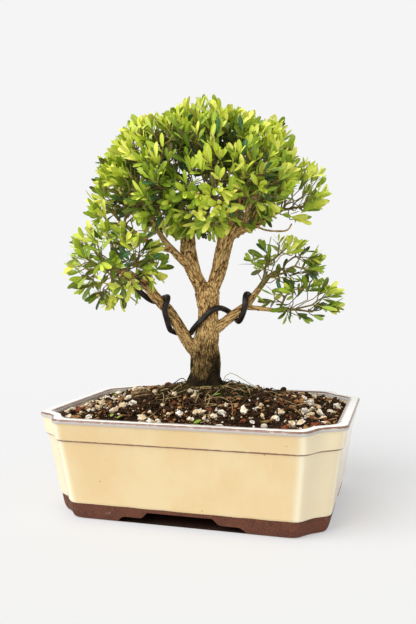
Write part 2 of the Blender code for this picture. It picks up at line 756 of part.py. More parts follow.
def leaf_shape(splay):
    """An eight-sided leaf that leans out from +Z towards +X by the splay, its root sunk past the origin."""
    shape = bmesh.new()
    bmesh.ops.create_uvsphere(shape, u_segments=4, v_segments=2, radius=1.0)
    for corner in shape.verts:
        x, y, z = corner.co
        if abs(z) > 0.5:
            corner.co = (LEAF_WIDEST * LEAF_LENGTH, 0.0, z * LEAF_THICKNESS / 2)
        elif abs(y) > 0.5:
            corner.co = (LEAF_WIDEST * LEAF_LENGTH, y * LEAF_WIDTH / 2, 0.0)
        else:
            corner.co = (max(x, 0.0) * LEAF_LENGTH, 0.0, 0.0)
    bmesh.ops.translate(shape, verts=shape.verts, vec=(-LEAF_SUNK, 0.0, 0.0))
    bmesh.ops.rotate(shape, verts=shape.verts, matrix=Matrix.Rotation(splay - math.pi / 2, 3, "Y"))
    return shape


def leaf_frame(root, growing, roll):
    """A matrix whose +Z grows on along the twig and whose +X points out from it at a roll."""
    level = np.cross(growing, (0.0, 0.0, 1.0))
    level /= max(np.linalg.norm(level), 1e-9)
    steep = np.cross(growing, level)
    out = level * math.cos(roll) + steep * math.sin(roll)
    turn = Matrix((out, np.cross(growing, out), growing)).transposed().to_4x4()
    return Matrix.Translation(root) @ turn


def leaf_marks(frame, splay):
    """Points all over a leaf, by which its place is judged."""
    lean = Matrix.Rotation(splay - math.pi / 2, 4, "Y")
    marks = []
    for x in LEAF_MARKS:
        half = LEAF_WIDTH / 2 * min(x / LEAF_WIDEST, (1 - x) / (1 - LEAF_WIDEST))
        marks += [frame @ (lean @ Vector((x * LEAF_LENGTH, y * half, 0))) for y in (-1, 0, 1)]
    return np.array(marks)


def leaf_fits(marks, space, taken):
    """Whether a leaf stays in its space, clear of the limbs and of the leaves before it."""
    if not space.holds(marks, -OVERHANG) or space.limb_distance(marks).min() < LEAF_CLEAR:
        return False
    if not taken:
        return True
    away = np.linalg.norm(marks[:, None] - np.vstack(taken)[None], axis=2)
    return away[LEAF_FREE:].min() > LEAF_APART


def tip_leaves(twig, tip, space, taken, rng):
    """The leaves near a tip, in crossed pairs that open outwards and a little upwards: (frame, splay)."""
    heart = CROWN_MIDDLE if space.fills_crown else space.middle
    outward = twig.points[tip] - heart
    outward /= np.linalg.norm(outward)
    on, out, up = TIP_WAY
    growing = on * twig.heading(tip) + out * outward + np.array((0, 0, up))
    growing /= np.linalg.norm(growing)
    first = rng.uniform(0, math.pi)
    found = []
    for pair, (back, splay) in enumerate(zip(PAIR_PLACES, PAIR_SPLAYS)):
        for side in (0, 1):
            root = twig.points[tip] - twig.heading(tip) * (back + side * PAIR_OFFSET)
            for turn in LEAF_TURNS:
                roll = first + pair * math.pi / 2 + side * math.pi + math.radians(turn)
                frame = leaf_frame(root, growing, roll)
                marks = leaf_marks(frame, splay)
                if leaf_fits(marks, space, taken):
                    found.append((frame, splay))
                    taken.append(marks[LEAF_FREE:])
                    break
    return found


def make_mass(name, parts, material, profile, solid_points, solid_radii):
    """One mass of foliage: its twig and leaves, joined into a single solid."""
    limb, _, _, _, tips, seed = MASSES[name]
    rng = np.random.default_rng(seed)
    space = Space(name, solid_points, solid_radii)
    rows = limb_rows(limb)
    heading = rows[-1, :3] - rows[-2, :3]
    heading /= np.linalg.norm(heading)
    base = rows[-1, :3] + heading * GAP
    twig = Twig(base, heading)
    targets = scatter(space, tips, rng)
    for target in sorted(targets, key=lambda place: np.linalg.norm(place - base)):
        twig.join(target, space)
    counts = twig.tips_beyond()
    stem_radius = rows[-1, 3]
    power = math.log(stem_radius / TWIG_TIP_RADIUS) / math.log(max(counts[0], 2))
    loose = new_collection("pieces_" + name)
    for k, run in enumerate(twig.chains()):
        stations = [(*twig.points[i], TWIG_TIP_RADIUS * counts[i] ** power) for i in run]
        if k > 0:
            stations[0] = (*stations[0][:3], stations[1][3] * FORK_SHARE)
        tube(f"{name}_twig_{k}", stations, loose, profile=profile)
    with_children = set(twig.parents)
    taken = []
    for tip in range(2, len(twig.points)):
        if tip in with_children:
            continue
        for frame, splay in tip_leaves(twig, tip, space, taken, rng):
            shape = leaf_shape(splay)
            bmesh.ops.transform(shape, matrix=frame, verts=shape.verts)
            new_object(f"{name}_leaf", as_mesh("leaf", shape), loose)
    host = loose.objects[f"{name}_twig_0"]
    loose.objects.unlink(host)
    parts.objects.link(host)
    boolean(host, "UNION", loose, "MANIFOLD")
    host.name = name
    mass = bake(host)
    for piece in list(loose.objects):
        bpy.data.objects.remove(piece, do_unlink=True)
    bpy.data.collections.remove(loose)
    keep_main_body(mass.data)
    mass.data.materials.append(material)


# ---------------------------------------------------------------- the whole object


def make_bonsai():
    clear_scene()
    parts = new_collection("boxwood_bonsai")
    cutters = new_collection("cutters")
    glaze = new_material("cream_glaze", (0.93, 0.80, 0.55), 0.15)
    earth = new_material("soil_mix", (0.06, 0.04, 0.03), 0.95)
    bark = new_material("corky_bark", (0.45, 0.32, 0.18), 0.85)
    metal = new_material("brown_wire", (0.05, 0.045, 0.04), 0.40, 0.6)
    green = new_material("box_leaves", (0.30, 0.45, 0.08), 0.45)

    make_pot(parts, cutters, glaze)
    make_soil(parts, earth)
    for name in LIMBS:
        make_limb(name, parts, cutters, bark)
    fine = np.vstack([smooth_route(rows, FINE_STEP) for _, rows in LIMBS.values()])
    wire = wire_route(fine[:, :3], fine[:, 3])
    tube("training_wire", wire, parts).data.materials.append(metal)
    solids = np.vstack((fine, smooth_route(wire, FINE_STEP)))

    triangle = bpy.data.curves.new("twig_profile", "CURVE")
    triangle.dimensions = "2D"
    corners = triangle.splines.new("POLY")
    corners.points.add(2)
    for k, point in enumerate(corners.points):
        point.co = (math.cos(k * math.tau / 3), math.sin(k * math.tau / 3), 0.0, 1.0)
    corners.use_cyclic_u = True
    profile = as_cutter(new_object("twig_profile", triangle, cutters))
    for name in MASSES:
        make_mass(name, parts, green, profile, solids[:, :3], solids[:, 3])

    tree = bpy.data.objects.new("tree", None)
    parts.objects.link(tree)
    tree.rotation_euler = (0.0, 0.0, TREE_TURN)
    for piece in parts.objects:
        if piece.type == "MESH" and piece.name not in ("pot", "soil"):
            piece.parent = tree


make_bonsai()
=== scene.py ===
import math

import bmesh
import bpy
import numpy as np
from mathutils import Matrix, Vector, noise


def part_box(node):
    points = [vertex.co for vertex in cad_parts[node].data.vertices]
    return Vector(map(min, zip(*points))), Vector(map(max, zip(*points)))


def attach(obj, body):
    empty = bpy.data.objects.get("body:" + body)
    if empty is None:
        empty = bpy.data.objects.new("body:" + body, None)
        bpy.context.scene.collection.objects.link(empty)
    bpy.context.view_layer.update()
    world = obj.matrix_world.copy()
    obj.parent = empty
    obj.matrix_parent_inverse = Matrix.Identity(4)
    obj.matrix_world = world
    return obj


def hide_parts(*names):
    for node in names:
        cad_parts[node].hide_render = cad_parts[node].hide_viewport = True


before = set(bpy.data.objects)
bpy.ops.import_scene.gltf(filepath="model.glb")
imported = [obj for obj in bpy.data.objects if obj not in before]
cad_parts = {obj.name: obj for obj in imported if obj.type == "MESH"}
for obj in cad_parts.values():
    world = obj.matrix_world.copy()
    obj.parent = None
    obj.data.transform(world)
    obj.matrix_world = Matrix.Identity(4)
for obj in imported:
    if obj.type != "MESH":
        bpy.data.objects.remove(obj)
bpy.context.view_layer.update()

# ================================================================ the pot
# A bonsai pot of press-moulded stoneware, with indented corners, a banded rim and low feet between cut
# arches. It is dipped in a cream glaze that runs thin and brown over every edge; the foot is left bare.
# Painted highlights on the rim and down the corners, and painted shade under the rim, colour the glaze.

pot_low, pot_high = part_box("pot")
POT_LENGTH, POT_WIDTH, POT_HEIGHT = pot_high - pot_low
GLAZE_LINE = 0.0138  # height where the glaze stops
# What the indented corner takes off each side, and how far it curves in past a straight cut, by height
CORNER_HEIGHTS = (0.0, GLAZE_LINE, 0.0645, 0.0790, 0.0812)
CORNER_CUTS = (0.0190, 0.0212, 0.0240, 0.0266, 0.0270)
CORNER_BOWS = (0.0015, 0.0022, 0.0032, 0.0055, 0.0058)
CORNER_STEPS = 26
MOUTH_CUT = 0.0252  # the plain cut corner of the mouth
ARRIS_LEAD = 0.007  # how far along the sides the corner's edges are softened
LEAD_STEPS = 5
ARRIS_PASSES = 16
HIGHLIGHT_SPREAD = 2.6  # how far the painted highlight spreads from each corner edge, in steps of the outline
HIGHLIGHT_BETWEEN = 0.6  # how strong the painted highlight is between the corner's two edges
SIDE_STEPS = 12
BEND_STEPS = 4

# The section, from the foot up the outside, over the rim and down to the floor inside:
# (inset from the rim's edge, height, how far each bend is rounded)
POT_OUTSIDE = (
    (0.0192, 0.0000, 0.0),
    (0.0174, 0.0009, 0.0010),
    (0.0157, 0.0050, 0.0020),
    (0.0140, GLAZE_LINE - 0.0005, 0.0003),
    (0.0137, GLAZE_LINE, 0.0003),
    (0.0132, GLAZE_LINE + 0.0010, 0.0008),
    (0.0053, 0.0638, 0.0008),
    (0.0040, 0.0648, 0.0008),
    (0.0013, 0.0780, 0.0012),
    (0.0000, 0.0791, 0.0008),
    (0.0000, 0.0812, 0.0010),
    (0.0012, POT_HEIGHT, 0.0010),
    (0.0050, POT_HEIGHT, 0.0010),
)
POT_INSIDE = (
    (0.0088, POT_HEIGHT - 0.0001, 0.0010),
    (0.0097, 0.0811, 0.0010),
    (0.0112, 0.0720, 0.0030),
    (0.0205, 0.0230, 0.0040),
    (0.0240, 0.0180, 0.0),
)
# Where the glaze runs thin: (inset, height, how wide)
THIN_EDGES = ((0.0042, 0.0645, 0.0009), (0.0003, 0.0817, 0.0010), (0.0092, 0.0820, 0.0009))
# Half of each foot arch, from the ground to its crown: (distance from the middle, height, rounding)
FRONT_ARCH = ((0.0525, 0.0, 0.0), (0.0500, 0.0028, 0.0015), (0.0465, 0.0053, 0.0020),
              (0.0310, 0.0053, 0.0018), (0.0260, 0.0104, 0.0014))
SIDE_ARCH = ((0.0270, 0.0, 0.0), (0.0250, 0.0028, 0.0012), (0.0220, 0.0053, 0.0018),
             (0.0150, 0.0053, 0.0016), (0.0110, 0.0104, 0.0012))
UNDER_GROUND = -0.002  # how low the arches' cutters reach
FOOT_THICKNESS = 0.020
HOLLOW_HEIGHT = 0.0080
HOLLOW_BEND = 0.008
POT_CREASE = math.radians(48)
GLAZE_WAVER, WAVER_SCALE = 0.0005, 70  # how the glaze's lower edge wavers
WAVER_REACH = 0.0008

LIP = (0.0786, 0.0806)  # the face under the rim, where grey shade is painted on the glaze
LIP_FADE = 0.0006
CREAM, CREAM_WARM, CREAM_STREAK = (0.76, 0.605, 0.345), (0.73, 0.535, 0.275), (0.86, 0.73, 0.49)
# the colour of the painted highlight down the indented corners
PAINTED_CORNER_HIGHLIGHT = (0.97, 0.92, 0.70)
# the colour of the painted shade under the rim
LIP_PAINTED_SHADE = (0.40, 0.40, 0.45)
# the colour of the painted highlight on the rim's top
RIM_PAINTED_HIGHLIGHT = (0.98, 0.96, 0.93)
BROKEN_BROWN = (0.17, 0.060, 0.035)
PIT_BROWN = (0.30, 0.17, 0.07)
CLAY, CLAY_DARK = (0.150, 0.052, 0.028), (0.070, 0.024, 0.014)
CHALK = (0.46, 0.33, 0.27)


def rounded(points, steps=BEND_STEPS):
    """A line of points with a rounding each, as points whose bends are curves."""
    found = [points[0][:2]]
    for before, here, after in zip(points, points[1:], points[2:]):
        corner = np.array(here[:2])
        if here[2] == 0:
            found.append(tuple(corner))
            continue
        ends = []
        for other in (before, after):
            way = np.array(other[:2]) - corner
            length = np.linalg.norm(way)
            ends.append(corner + way / length * min(here[2], length / 2))
        for t in np.linspace(0, 1, steps + 1):
            found.append(tuple((1 - t) ** 2 * ends[0] + 2 * t * (1 - t) * corner + t ** 2 * ends[1]))
    return found + [points[-1][:2]]


def corner_curve(cut, bow):
    """The indented corner, as distances in from the two sides that would meet there."""
    share = np.linspace(0, 1, CORNER_STEPS + 1)
    inward = bow * np.sin(math.pi * share) ** 2 / math.sqrt(2)
    curve = np.column_stack((cut * (1 - share) + inward, cut * share + inward))
    lead = np.linspace(ARRIS_LEAD, 0, LEAD_STEPS + 1)[:-1]
    first = np.column_stack((cut + lead, 0 * lead))
    curve = np.vstack((first, curve, first[::-1, ::-1]))
    for _ in range(ARRIS_PASSES):
        curve[1:-1] = 0.5 * curve[1:-1] + 0.25 * (curve[:-2] + curve[2:])
    return curve


def pot_ring(inset, height, cut, bow):
    """The pot's outline at one height, anticlockwise from its front right corner."""
    half_x, half_y = POT_LENGTH / 2 - inset, POT_WIDTH / 2 - inset
    corners = []
    for side_x, side_y in ((1, -1), (1, 1), (-1, 1), (-1, -1)):
        curve = corner_curve(cut, bow)
        if side_x * side_y > 0:
            curve = curve[::-1]
        corners.append([(side_x * (half_x - a), side_y * (half_y - b), height) for a, b in curve])
    ring = []
    for here, after in zip(corners, corners[1:] + corners[:1]):
        side = np.linspace(here[-1], after[0], SIDE_STEPS + 1)[1:-1]
        ring += here + [tuple(point) for point in side]
    return ring


def mesh_object(name, vertices, faces, materials, face_materials=None):
    mesh = bpy.data.meshes.new(name)
    mesh.from_pydata([tuple(v) for v in vertices], [], [tuple(f) for f in faces])
    for material in materials:
        mesh.materials.append(material)
    if face_materials is not None:
        mesh.polygons.foreach_set("material_index", np.array(face_materials, np.int32))
    mesh.validate()
    made = bpy.data.objects.new(name, mesh)
    bpy.context.scene.collection.objects.link(made)
    return made


def ring_faces(rings, count):
    """The faces between rings of equally many points, and the caps of the first and the last."""
    faces = []
    for row in range(rings - 1):
        for k in range(count):
            after = (k + 1) % count
            faces.append((row * count + k, row * count + after,
                          (row + 1) * count + after, (row + 1) * count + k))
    faces.append(tuple(range(count - 1, -1, -1)))
    faces.append(tuple(range((rings - 1) * count, rings * count)))
    return faces


def set_attribute(mesh, name, values, kind="FLOAT", field="value"):
    mesh.attributes.new(name, kind, "POINT").data.foreach_set(field, np.array(values, np.float32).ravel())


def apply_modifiers(piece):
    """Turns what the modifiers show into the object's own mesh."""
    graph = bpy.context.evaluated_depsgraph_get()
    mesh = bpy.data.meshes.new_from_object(piece.evaluated_get(graph))
    piece.modifiers.clear()
    piece.data = mesh


def prism(name, outline, length):
    """A closed outline in x and y, drawn out along Z around the origin."""
    shape = bmesh.new()
    face = shape.faces.new([shape.verts.new((x, y, -length / 2)) for x, y in outline])
    drawn = bmesh.ops.extrude_face_region(shape, geom=[face])["geom"]
    moved = [item for item in drawn if isinstance(item, bmesh.types.BMVert)]
    bmesh.ops.translate(shape, verts=moved, vec=(0, 0, length))
    bmesh.ops.recalc_face_normals(shape, faces=shape.faces)
    mesh = bpy.data.meshes.new(name)
    shape.to_mesh(mesh)
    shape.free()
    return bpy.data.objects.new(name, mesh)


def cut_away(piece, cutter):
    bpy.context.scene.collection.objects.link(cutter)
    modifier = piece.modifiers.new("cut", "BOOLEAN")
    modifier.operation = "DIFFERENCE"
    modifier.solver = "EXACT"
    modifier.object = cutter
    apply_modifiers(piece)
    bpy.data.objects.remove(cutter, do_unlink=True)


def arch(half_arch, length, along_y):
    half = [(half_arch[0][0], UNDER_GROUND), *rounded(half_arch)]
    cutter = prism("arch", half + [(-x, z) for x, z in reversed(half)], length)
    cutter.data.transform(Matrix.Rotation(math.pi / 2, 4, "X"))
    if not along_y:
        cutter.data.transform(Matrix.Rotation(math.pi / 2, 4, "Z"))
    return cutter


class Nodes:
    """A material's node tree, with short ways to add and join nodes."""

    def __init__(self, name):
        self.material = bpy.data.materials.new(name)
        self.material.use_nodes = True
        self.tree = self.material.node_tree
        self.shader = self.tree.nodes["Principled BSDF"]
        self.place = self.add("ShaderNodeTexCoord").outputs["Object"]

    def add(self, kind, **values):
        node = self.tree.nodes.new(kind)
        for key, value in values.items():
            setattr(node, key, value)
        return node

    def join(self, source, target):
        if hasattr(source, "is_output"):
            self.tree.links.new(source, target)
        else:
            target.default_value = source

    def noise(self, scale, detail=3.0, roughness=0.55, place=None):
        node = self.add("ShaderNodeTexNoise")
        node.inputs["Scale"].default_value = scale
        node.inputs["Detail"].default_value = detail
        node.inputs["Roughness"].default_value = roughness
        self.join(place or self.place, node.inputs["Vector"])
        return node.outputs["Fac"]

    def cells(self, scale, feature="F1", place=None):
        node = self.add("ShaderNodeTexVoronoi", feature=feature)
        node.inputs["Scale"].default_value = scale
        self.join(place or self.place, node.inputs["Vector"])
        return node.outputs["Distance"]

    def stretched(self, scale):
        node = self.add("ShaderNodeMapping")
        node.inputs["Scale"].default_value = scale
        self.join(self.place, node.inputs["Vector"])
        return node.outputs["Vector"]

    def spread(self, value, low, high, to_low=0.0, to_high=1.0):
        """A value taken smoothly from one range to another, and held at its ends."""
        node = self.add("ShaderNodeMapRange", interpolation_type="SMOOTHSTEP")
        for key, number in zip(("From Min", "From Max", "To Min", "To Max"), (low, high, to_low, to_high)):
            node.inputs[key].default_value = number
        self.join(value, node.inputs["Value"])
        return node.outputs["Result"]

    def math(self, operation, first, second=0.0):
        node = self.add("ShaderNodeMath", operation=operation)
        self.join(first, node.inputs[0])
        self.join(second, node.inputs[1])
        return node.outputs[0]

    def mix(self, share, first, second):
        node = self.add("ShaderNodeMix", data_type="RGBA")
        self.join(share, node.inputs["Factor"])
        for value, target in ((first, node.inputs["A"]), (second, node.inputs["B"])):
            self.join((*value, 1.0) if isinstance(value, tuple) else value, target)
        return node.outputs["Result"]

    def height(self):
        node = self.add("ShaderNodeSeparateXYZ")
        self.join(self.place, node.inputs[0])
        return node.outputs["Z"]

    def stored(self, name):
        return self.add("ShaderNodeAttribute", attribute_name=name).outputs["Fac"]

    def bump(self, value, distance, strength=1.0):
        node = self.add("ShaderNodeBump")
        node.inputs["Distance"].default_value = distance
        node.inputs["Strength"].default_value = strength
        self.join(value, node.inputs["Height"])
        self.join(node.outputs["Normal"], self.shader.inputs["Normal"])

    def finish(self, colour, roughness, metallic=0.0, specular=0.5):
        if isinstance(colour, tuple):
            colour = (*colour, 1.0)
        self.join(colour, self.shader.inputs["Base Color"])
        self.join(roughness, self.shader.inputs["Roughness"])
        self.shader.inputs["Metallic"].default_value = metallic
        self.shader.inputs["Specular IOR Level"].default_value = specular
        return self.material


def cream_glaze():
    glaze = Nodes("cream_glaze")
    clouds = glaze.noise(22.0, 4.0)
    streaks = glaze.noise(60.0, 3.0, place=glaze.stretched((1.0, 1.0, 0.25)))
    cream = glaze.mix(glaze.spread(clouds, 0.35, 0.70), CREAM, CREAM_WARM)
    cream = glaze.mix(glaze.spread(streaks, 0.55, 0.80, 0.0, 0.25), cream, CREAM_STREAK)
    uneven = glaze.noise(170.0, 3.0)
    thin = glaze.math("MULTIPLY", glaze.stored("thin_glaze"), glaze.spread(uneven, 0.30, 0.60, 0.72, 1.25))
    height = glaze.height()
    # a painted highlight down the indented corners
    cream = glaze.mix(glaze.math("MULTIPLY", glaze.stored("corner_highlight"), 0.75), cream, PAINTED_CORNER_HIGHLIGHT)
    # painted shade on the face under the rim
    lip_shade = glaze.math("MULTIPLY", glaze.spread(height, LIP[0], LIP[0] + LIP_FADE),
                     glaze.spread(height, LIP[1], LIP[1] + LIP_FADE, 1.0, 0.0))
    cream = glaze.mix(glaze.math("MULTIPLY", lip_shade, 0.75), cream, LIP_PAINTED_SHADE)
    # a painted highlight over the rim's top
    cream = glaze.mix(glaze.spread(height, LIP[1], POT_HEIGHT - 0.0002, 0.0, 0.90), cream, RIM_PAINTED_HIGHLIGHT)
    cream = glaze.mix(glaze.spread(thin, 0.20, 0.70, 0.0, 0.92), cream, BROKEN_BROWN)
    pits = glaze.spread(glaze.cells(75.0), 0.035, 0.060, 1.0, 0.0)
    rare = glaze.spread(glaze.noise(45.0, 1.0), 0.56, 0.60)
    spots = glaze.math("MULTIPLY", pits, rare)
    cream = glaze.mix(glaze.math("MULTIPLY", spots, 0.75), cream, PIT_BROWN)
    glaze.bump(glaze.math("SUBTRACT", glaze.noise(48.0, 2.0), spots), 0.0003, 0.35)
    return glaze.finish(cream, glaze.spread(clouds, 0.3, 0.7, 0.07, 0.14))


def bare_clay():
    clay = Nodes("bare_clay")
    grains = clay.noise(900.0, 4.0)
    stains = clay.noise(55.0, 5.0)
    colour = clay.mix(clay.spread(grains, 0.35, 0.65), CLAY_DARK, CLAY)
    colour = clay.mix(clay.spread(stains, 0.40, 0.60, 0.0, 0.55), colour, CLAY)
    smudge = clay.noise(95.0, 6.0, 0.7)
    colour = clay.mix(clay.spread(smudge, 0.60, 0.74, 0.0, 0.50), colour, CHALK)
    clay.bump(grains, 0.0003, 0.6)
    return clay.finish(colour, 0.82, specular=0.3)


def corner_highlight_weight(k, quarter):
    """How strongly the corner's painted highlight lies on a point of the outline, by its nearness to the two
    soft edges.
    """
    place = k % quarter - LEAD_STEPS
    between = HIGHLIGHT_BETWEEN * (0 < place < CORNER_STEPS)
    return max(between, *(math.exp(-((place - edge) / HIGHLIGHT_SPREAD) ** 2) for edge in (0, CORNER_STEPS)))


def make_pot():
    outside, inside = rounded(POT_OUTSIDE), rounded(POT_INSIDE)
    sections = [(inset, height, np.interp(height, CORNER_HEIGHTS, CORNER_CUTS),
                 np.interp(height, CORNER_HEIGHTS, CORNER_BOWS)) for inset, height in outside]
    sections += [(*point, MOUTH_CUT, 0.0) for point in inside]
    vertices, thin, corner_highlight = [], [], []
    for inset, height, cut, bow in sections:
        ring = np.array(pot_ring(inset, height, cut, bow))
        if abs(height - GLAZE_LINE) < WAVER_REACH:
            ring[:, 2] += [GLAZE_WAVER * noise.noise(Vector(point) * WAVER_SCALE) for point in ring]
        vertices.append(ring)
        edge = max(math.exp(-((inset - x) ** 2 + (height - z) ** 2) / width ** 2)
                   for x, z, width in THIN_EDGES)
        thin += [edge] * len(ring)
        corner_highlight += [corner_highlight_weight(k, len(ring) // 4) for k in range(len(ring))]
    count = len(vertices[0])
    vertices = np.vstack(vertices)
    faces = ring_faces(len(sections), count)
    bare = [int(vertices[list(face), 2].mean() < GLAZE_LINE - 0.0002) for face in faces]
    bare[-1] = 0
    pot = mesh_object("glazed_pot", vertices, faces, [cream_glaze(), bare_clay()], bare)
    set_attribute(pot.data, "thin_glaze", thin)
    set_attribute(pot.data, "corner_highlight", corner_highlight)
    foot = POT_OUTSIDE[0][0] + FOOT_THICKNESS
    across, along = POT_LENGTH / 2 - foot, POT_WIDTH / 2 - foot
    turns = [(across, along, HOLLOW_BEND), (-across, along, HOLLOW_BEND),
             (-across, -along, HOLLOW_BEND), (across, -along, HOLLOW_BEND)]
    hollow = rounded([turns[-1], *turns, turns[0]])[1:-1]
    cut_away(pot, prism("hollow", hollow, 2 * HOLLOW_HEIGHT))
    cut_away(pot, arch(FRONT_ARCH, 2 * POT_WIDTH, True))
    cut_away(pot, arch(SIDE_ARCH, 2 * POT_LENGTH, False))
    pot.data.shade_smooth()
    pot.data.set_sharp_from_angle(angle=POT_CREASE)
    for polygon in pot.data.polygons:
        if polygon.center.z < GLAZE_LINE - 0.001:
            polygon.material_index = 1
    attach(pot, "root")
    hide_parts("pot")


make_pot()

# ================================================================ the soil
# Dark bark humus, heaped from just under the pot's rim to the trunk's foot. It is the mound that the
# coarser grains of the mix stand in.

WALL_GAP = 0.0002
WALL_TOP, WALL_BOTTOM = POT_INSIDE[1][:2], POT_INSIDE[2][:2]  # of the wall that the soil's edge meets
FILL_BOTTOM = (0.0205, 0.0235)  # (inset, height)
EDGE_HEIGHT = 0.0775
SEAT_RADIUS = 0.0200  # where the trunk stands on the mound
SEAT_HEIGHT = 0.0980
HEAP_SWELL = 1.25  # of the heap the coarsest grains stand on
MATRIX_SWELL = 1.0  # of the humus between them
SOIL_RINGS = 62
SOIL_SIDES = 264
SOIL_ROUGHNESS = 0.0016
SOIL_CREASE = math.radians(38)
MOUTH_INSET = WALL_GAP + float(np.interp(EDGE_HEIGHT, (WALL_BOTTOM[1], WALL_TOP[1]),
                                         (WALL_BOTTOM[0], WALL_TOP[0])))
MOUTH_HALF_X, MOUTH_HALF_Y = POT_LENGTH / 2 - MOUTH_INSET, POT_WIDTH / 2 - MOUTH_INSET

HUMUS, HUMUS_RED, HUMUS_FIBRE = (0.018, 0.010, 0.004), (0.045, 0.020, 0.011), (0.12, 0.065, 0.034)


def mouth_reach(angle):
    """How far the soil runs from the middle of the pot at each angle."""
    across, along = np.abs(np.cos(angle)), np.abs(np.sin(angle))
    corner = MOUTH_HALF_X + MOUTH_HALF_Y - MOUTH_CUT
    return 1 / np.maximum.reduce((across / MOUTH_HALF_X, along / MOUTH_HALF_Y, (across + along) / corner))


def mound_height(x, y, swell=MATRIX_SWELL):
    reach = mouth_reach(np.arctan2(y, x))
    share = np.clip((np.hypot(x, y) - SEAT_RADIUS) / (reach - SEAT_RADIUS), 0, 1)
    return EDGE_HEIGHT + (SEAT_HEIGHT - EDGE_HEIGHT) * (1 - share ** swell)


def crumbs(x, y):
    """The soil's own unevenness, always downwards from the mound."""
    place = Vector((x, y, 0))
    coarse, fine = noise.noise(place * 90), noise.noise(place * 320)
    return SOIL_ROUGHNESS * (0.6 * coarse + 0.5 * fine - 0.8)


def soil_piece(name, vertices, faces, materials, face_materials=None, smooth=True):
    piece = mesh_object(name, vertices, faces, materials, face_materials)
    if smooth:
        piece.data.shade_smooth()
        piece.data.set_sharp_from_angle(angle=SOIL_CREASE)
    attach(piece, "root")
    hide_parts("soil")


def make_soil():
    angles = np.arange(SOIL_SIDES) * math.tau / SOIL_SIDES
    reach = mouth_reach(angles)
    rings = []
    for inset, height in (FILL_BOTTOM, WALL_BOTTOM):
        narrower = reach - (inset - MOUTH_INSET + WALL_GAP)
        rings.append(np.column_stack((np.cos(angles) * narrower, np.sin(angles) * narrower,
                                      0 * angles + height)))
    for share in np.linspace(1, 0.02, SOIL_RINGS):
        x, y = np.cos(angles) * reach * share, np.sin(angles) * reach * share
        drop = np.array([crumbs(a, b) for a, b in zip(x, y)])
        rings.append(np.column_stack((x, y, mound_height(x, y) + drop)))
    humus = Nodes("bark_humus")
    fibres = humus.noise(700.0, 5.0, 0.7)
    colour = humus.mix(humus.spread(humus.noise(160.0, 4.0), 0.45, 0.65), HUMUS, HUMUS_RED)
    colour = humus.mix(humus.spread(fibres, 0.60, 0.78, 0.0, 0.5), colour, HUMUS_FIBRE)
    humus.bump(fibres, 0.0012, 1.0)
    soil_piece("soil_mound", np.vstack(rings), ring_faces(len(rings), SOIL_SIDES),
               [humus.finish(colour, 0.95, specular=0.08)])


make_soil()

# ================================================================ the grains in the soil
# Crushed pumice, red lava and bark chips in the humus. The coarsest stand apart as lumps, the largest
# stones and a few fallen leaves lie on top, and finer grain fills the ground between them.

# The lumps of coarse grain: a seeded field of places, as in the solid mound
LUMP_SEED = 3
LUMP_PITCH = 0.0094
LUMP_STRAY = 0.0018
LUMP_MARGIN = 0.0055
LUMP_HEIGHTS = (0.0024, 0.0038)
LUMPS_APART = 0.0160

# The largest stones that lie on top, in millimetres: (across, back, half their width)
TOP_STONES = ((-31.3, -68.1, 4.6), (8.5, -57.2, 3.7), (-4.2, -60.4, 2.7), (-72.6, -25.9, 3.5),
              (-78.0, -48.2, 3.4), (-101.4, -21.0, 3.8), (-96.2, -65.0, 3.7), (-76.1, -70.8, 3.6),
              (-108.0, -39.6, 3.6), (-78.9, 32.8, 4.0), (-61.1, -26.0, 3.7), (-56.3, -46.9, 3.6),
              (-60.5, -58.0, 3.2), (-18.4, -29.6, 2.4), (-83.3, -31.7, 3.0), (-101.8, 44.0, 2.9),
              (29.2, -55.0, 3.4), (25.0, -61.8, 3.0), (60.6, -57.0, 2.3), (70.3, -56.1, 3.3),
              (83.9, -60.8, 3.7), (89.7, -54.6, 3.3), (92.9, -31.6, 3.1), (98.2, -14.8, 3.9),
              (105.4, -5.1, 3.2), (107.5, 24.2, 3.0), (87.2, -25.4, 3.1), (94.2, 4.9, 2.9),
              (55.3, -66.3, 2.3), (55.6, -36.7, 2.0), (71.8, 21.1, 2.2), (17.7, -65.3, 1.6))
FALLEN_LEAVES = ((17.6, -29.2, 4.3), (-57.7, -67.8, 3.2), (-50.5, -70.1, 3.4), (63.0, -66.7, 3.0),
                 (14.2, -71.5, 4.2), (79.0, -41.7, 2.8), (34.0, 10.0, 3.2), (-94.0, 18.0, 3.4))
PUMICE_WHITE, PUMICE_CREAM = (0.95, 0.90, 0.79), (0.70, 0.53, 0.31)
PUMICE_STAIN, PUMICE_PORE = (0.36, 0.24, 0.13), (0.30, 0.23, 0.15)
SOIL_SEED = 5

# Each kind of grain: (how jagged it is, its width and its height as shares of its length, the name of
# its material and that material's two tones and further values)
GRAIN_KINDS = {
    "pumice_grains": (0.85, (0.60, 0.95), (0.60, 0.85), None),
    "lava_grains": (0.75, (0.65, 0.95), (0.55, 0.90),
                    ("red_lava", (0.26, 0.075, 0.030), (0.100, 0.030, 0.016))),
    "bark_chips": (0.50, (0.40, 0.75), (0.25, 0.45),
                   ("bark_chip", (0.46, 0.25, 0.10), (0.16, 0.070, 0.028))),
    "dark_chips": (0.80, (0.55, 0.95), (0.45, 0.80),
                   ("dark_chip", (0.062, 0.030, 0.013), (0.014, 0.008, 0.004))),
    "fallen_leaves": (0.10, (0.40, 0.48), (0.07, 0.10),
                      ("fallen_leaf", (0.30, 0.42, 0.060), (0.16, 0.27, 0.030), 200.0, 0.5)),
    "fine_grit": (0.60, (0.65, 0.95), (0.50, 0.90), ("grit", (0.42, 0.26, 0.12), (0.060, 0.034, 0.016))),
}
LUMP_SHARES = {"pumice_grains": 0.16, "lava_grains": 0.06, "bark_chips": 0.16, "dark_chips": 0.62}
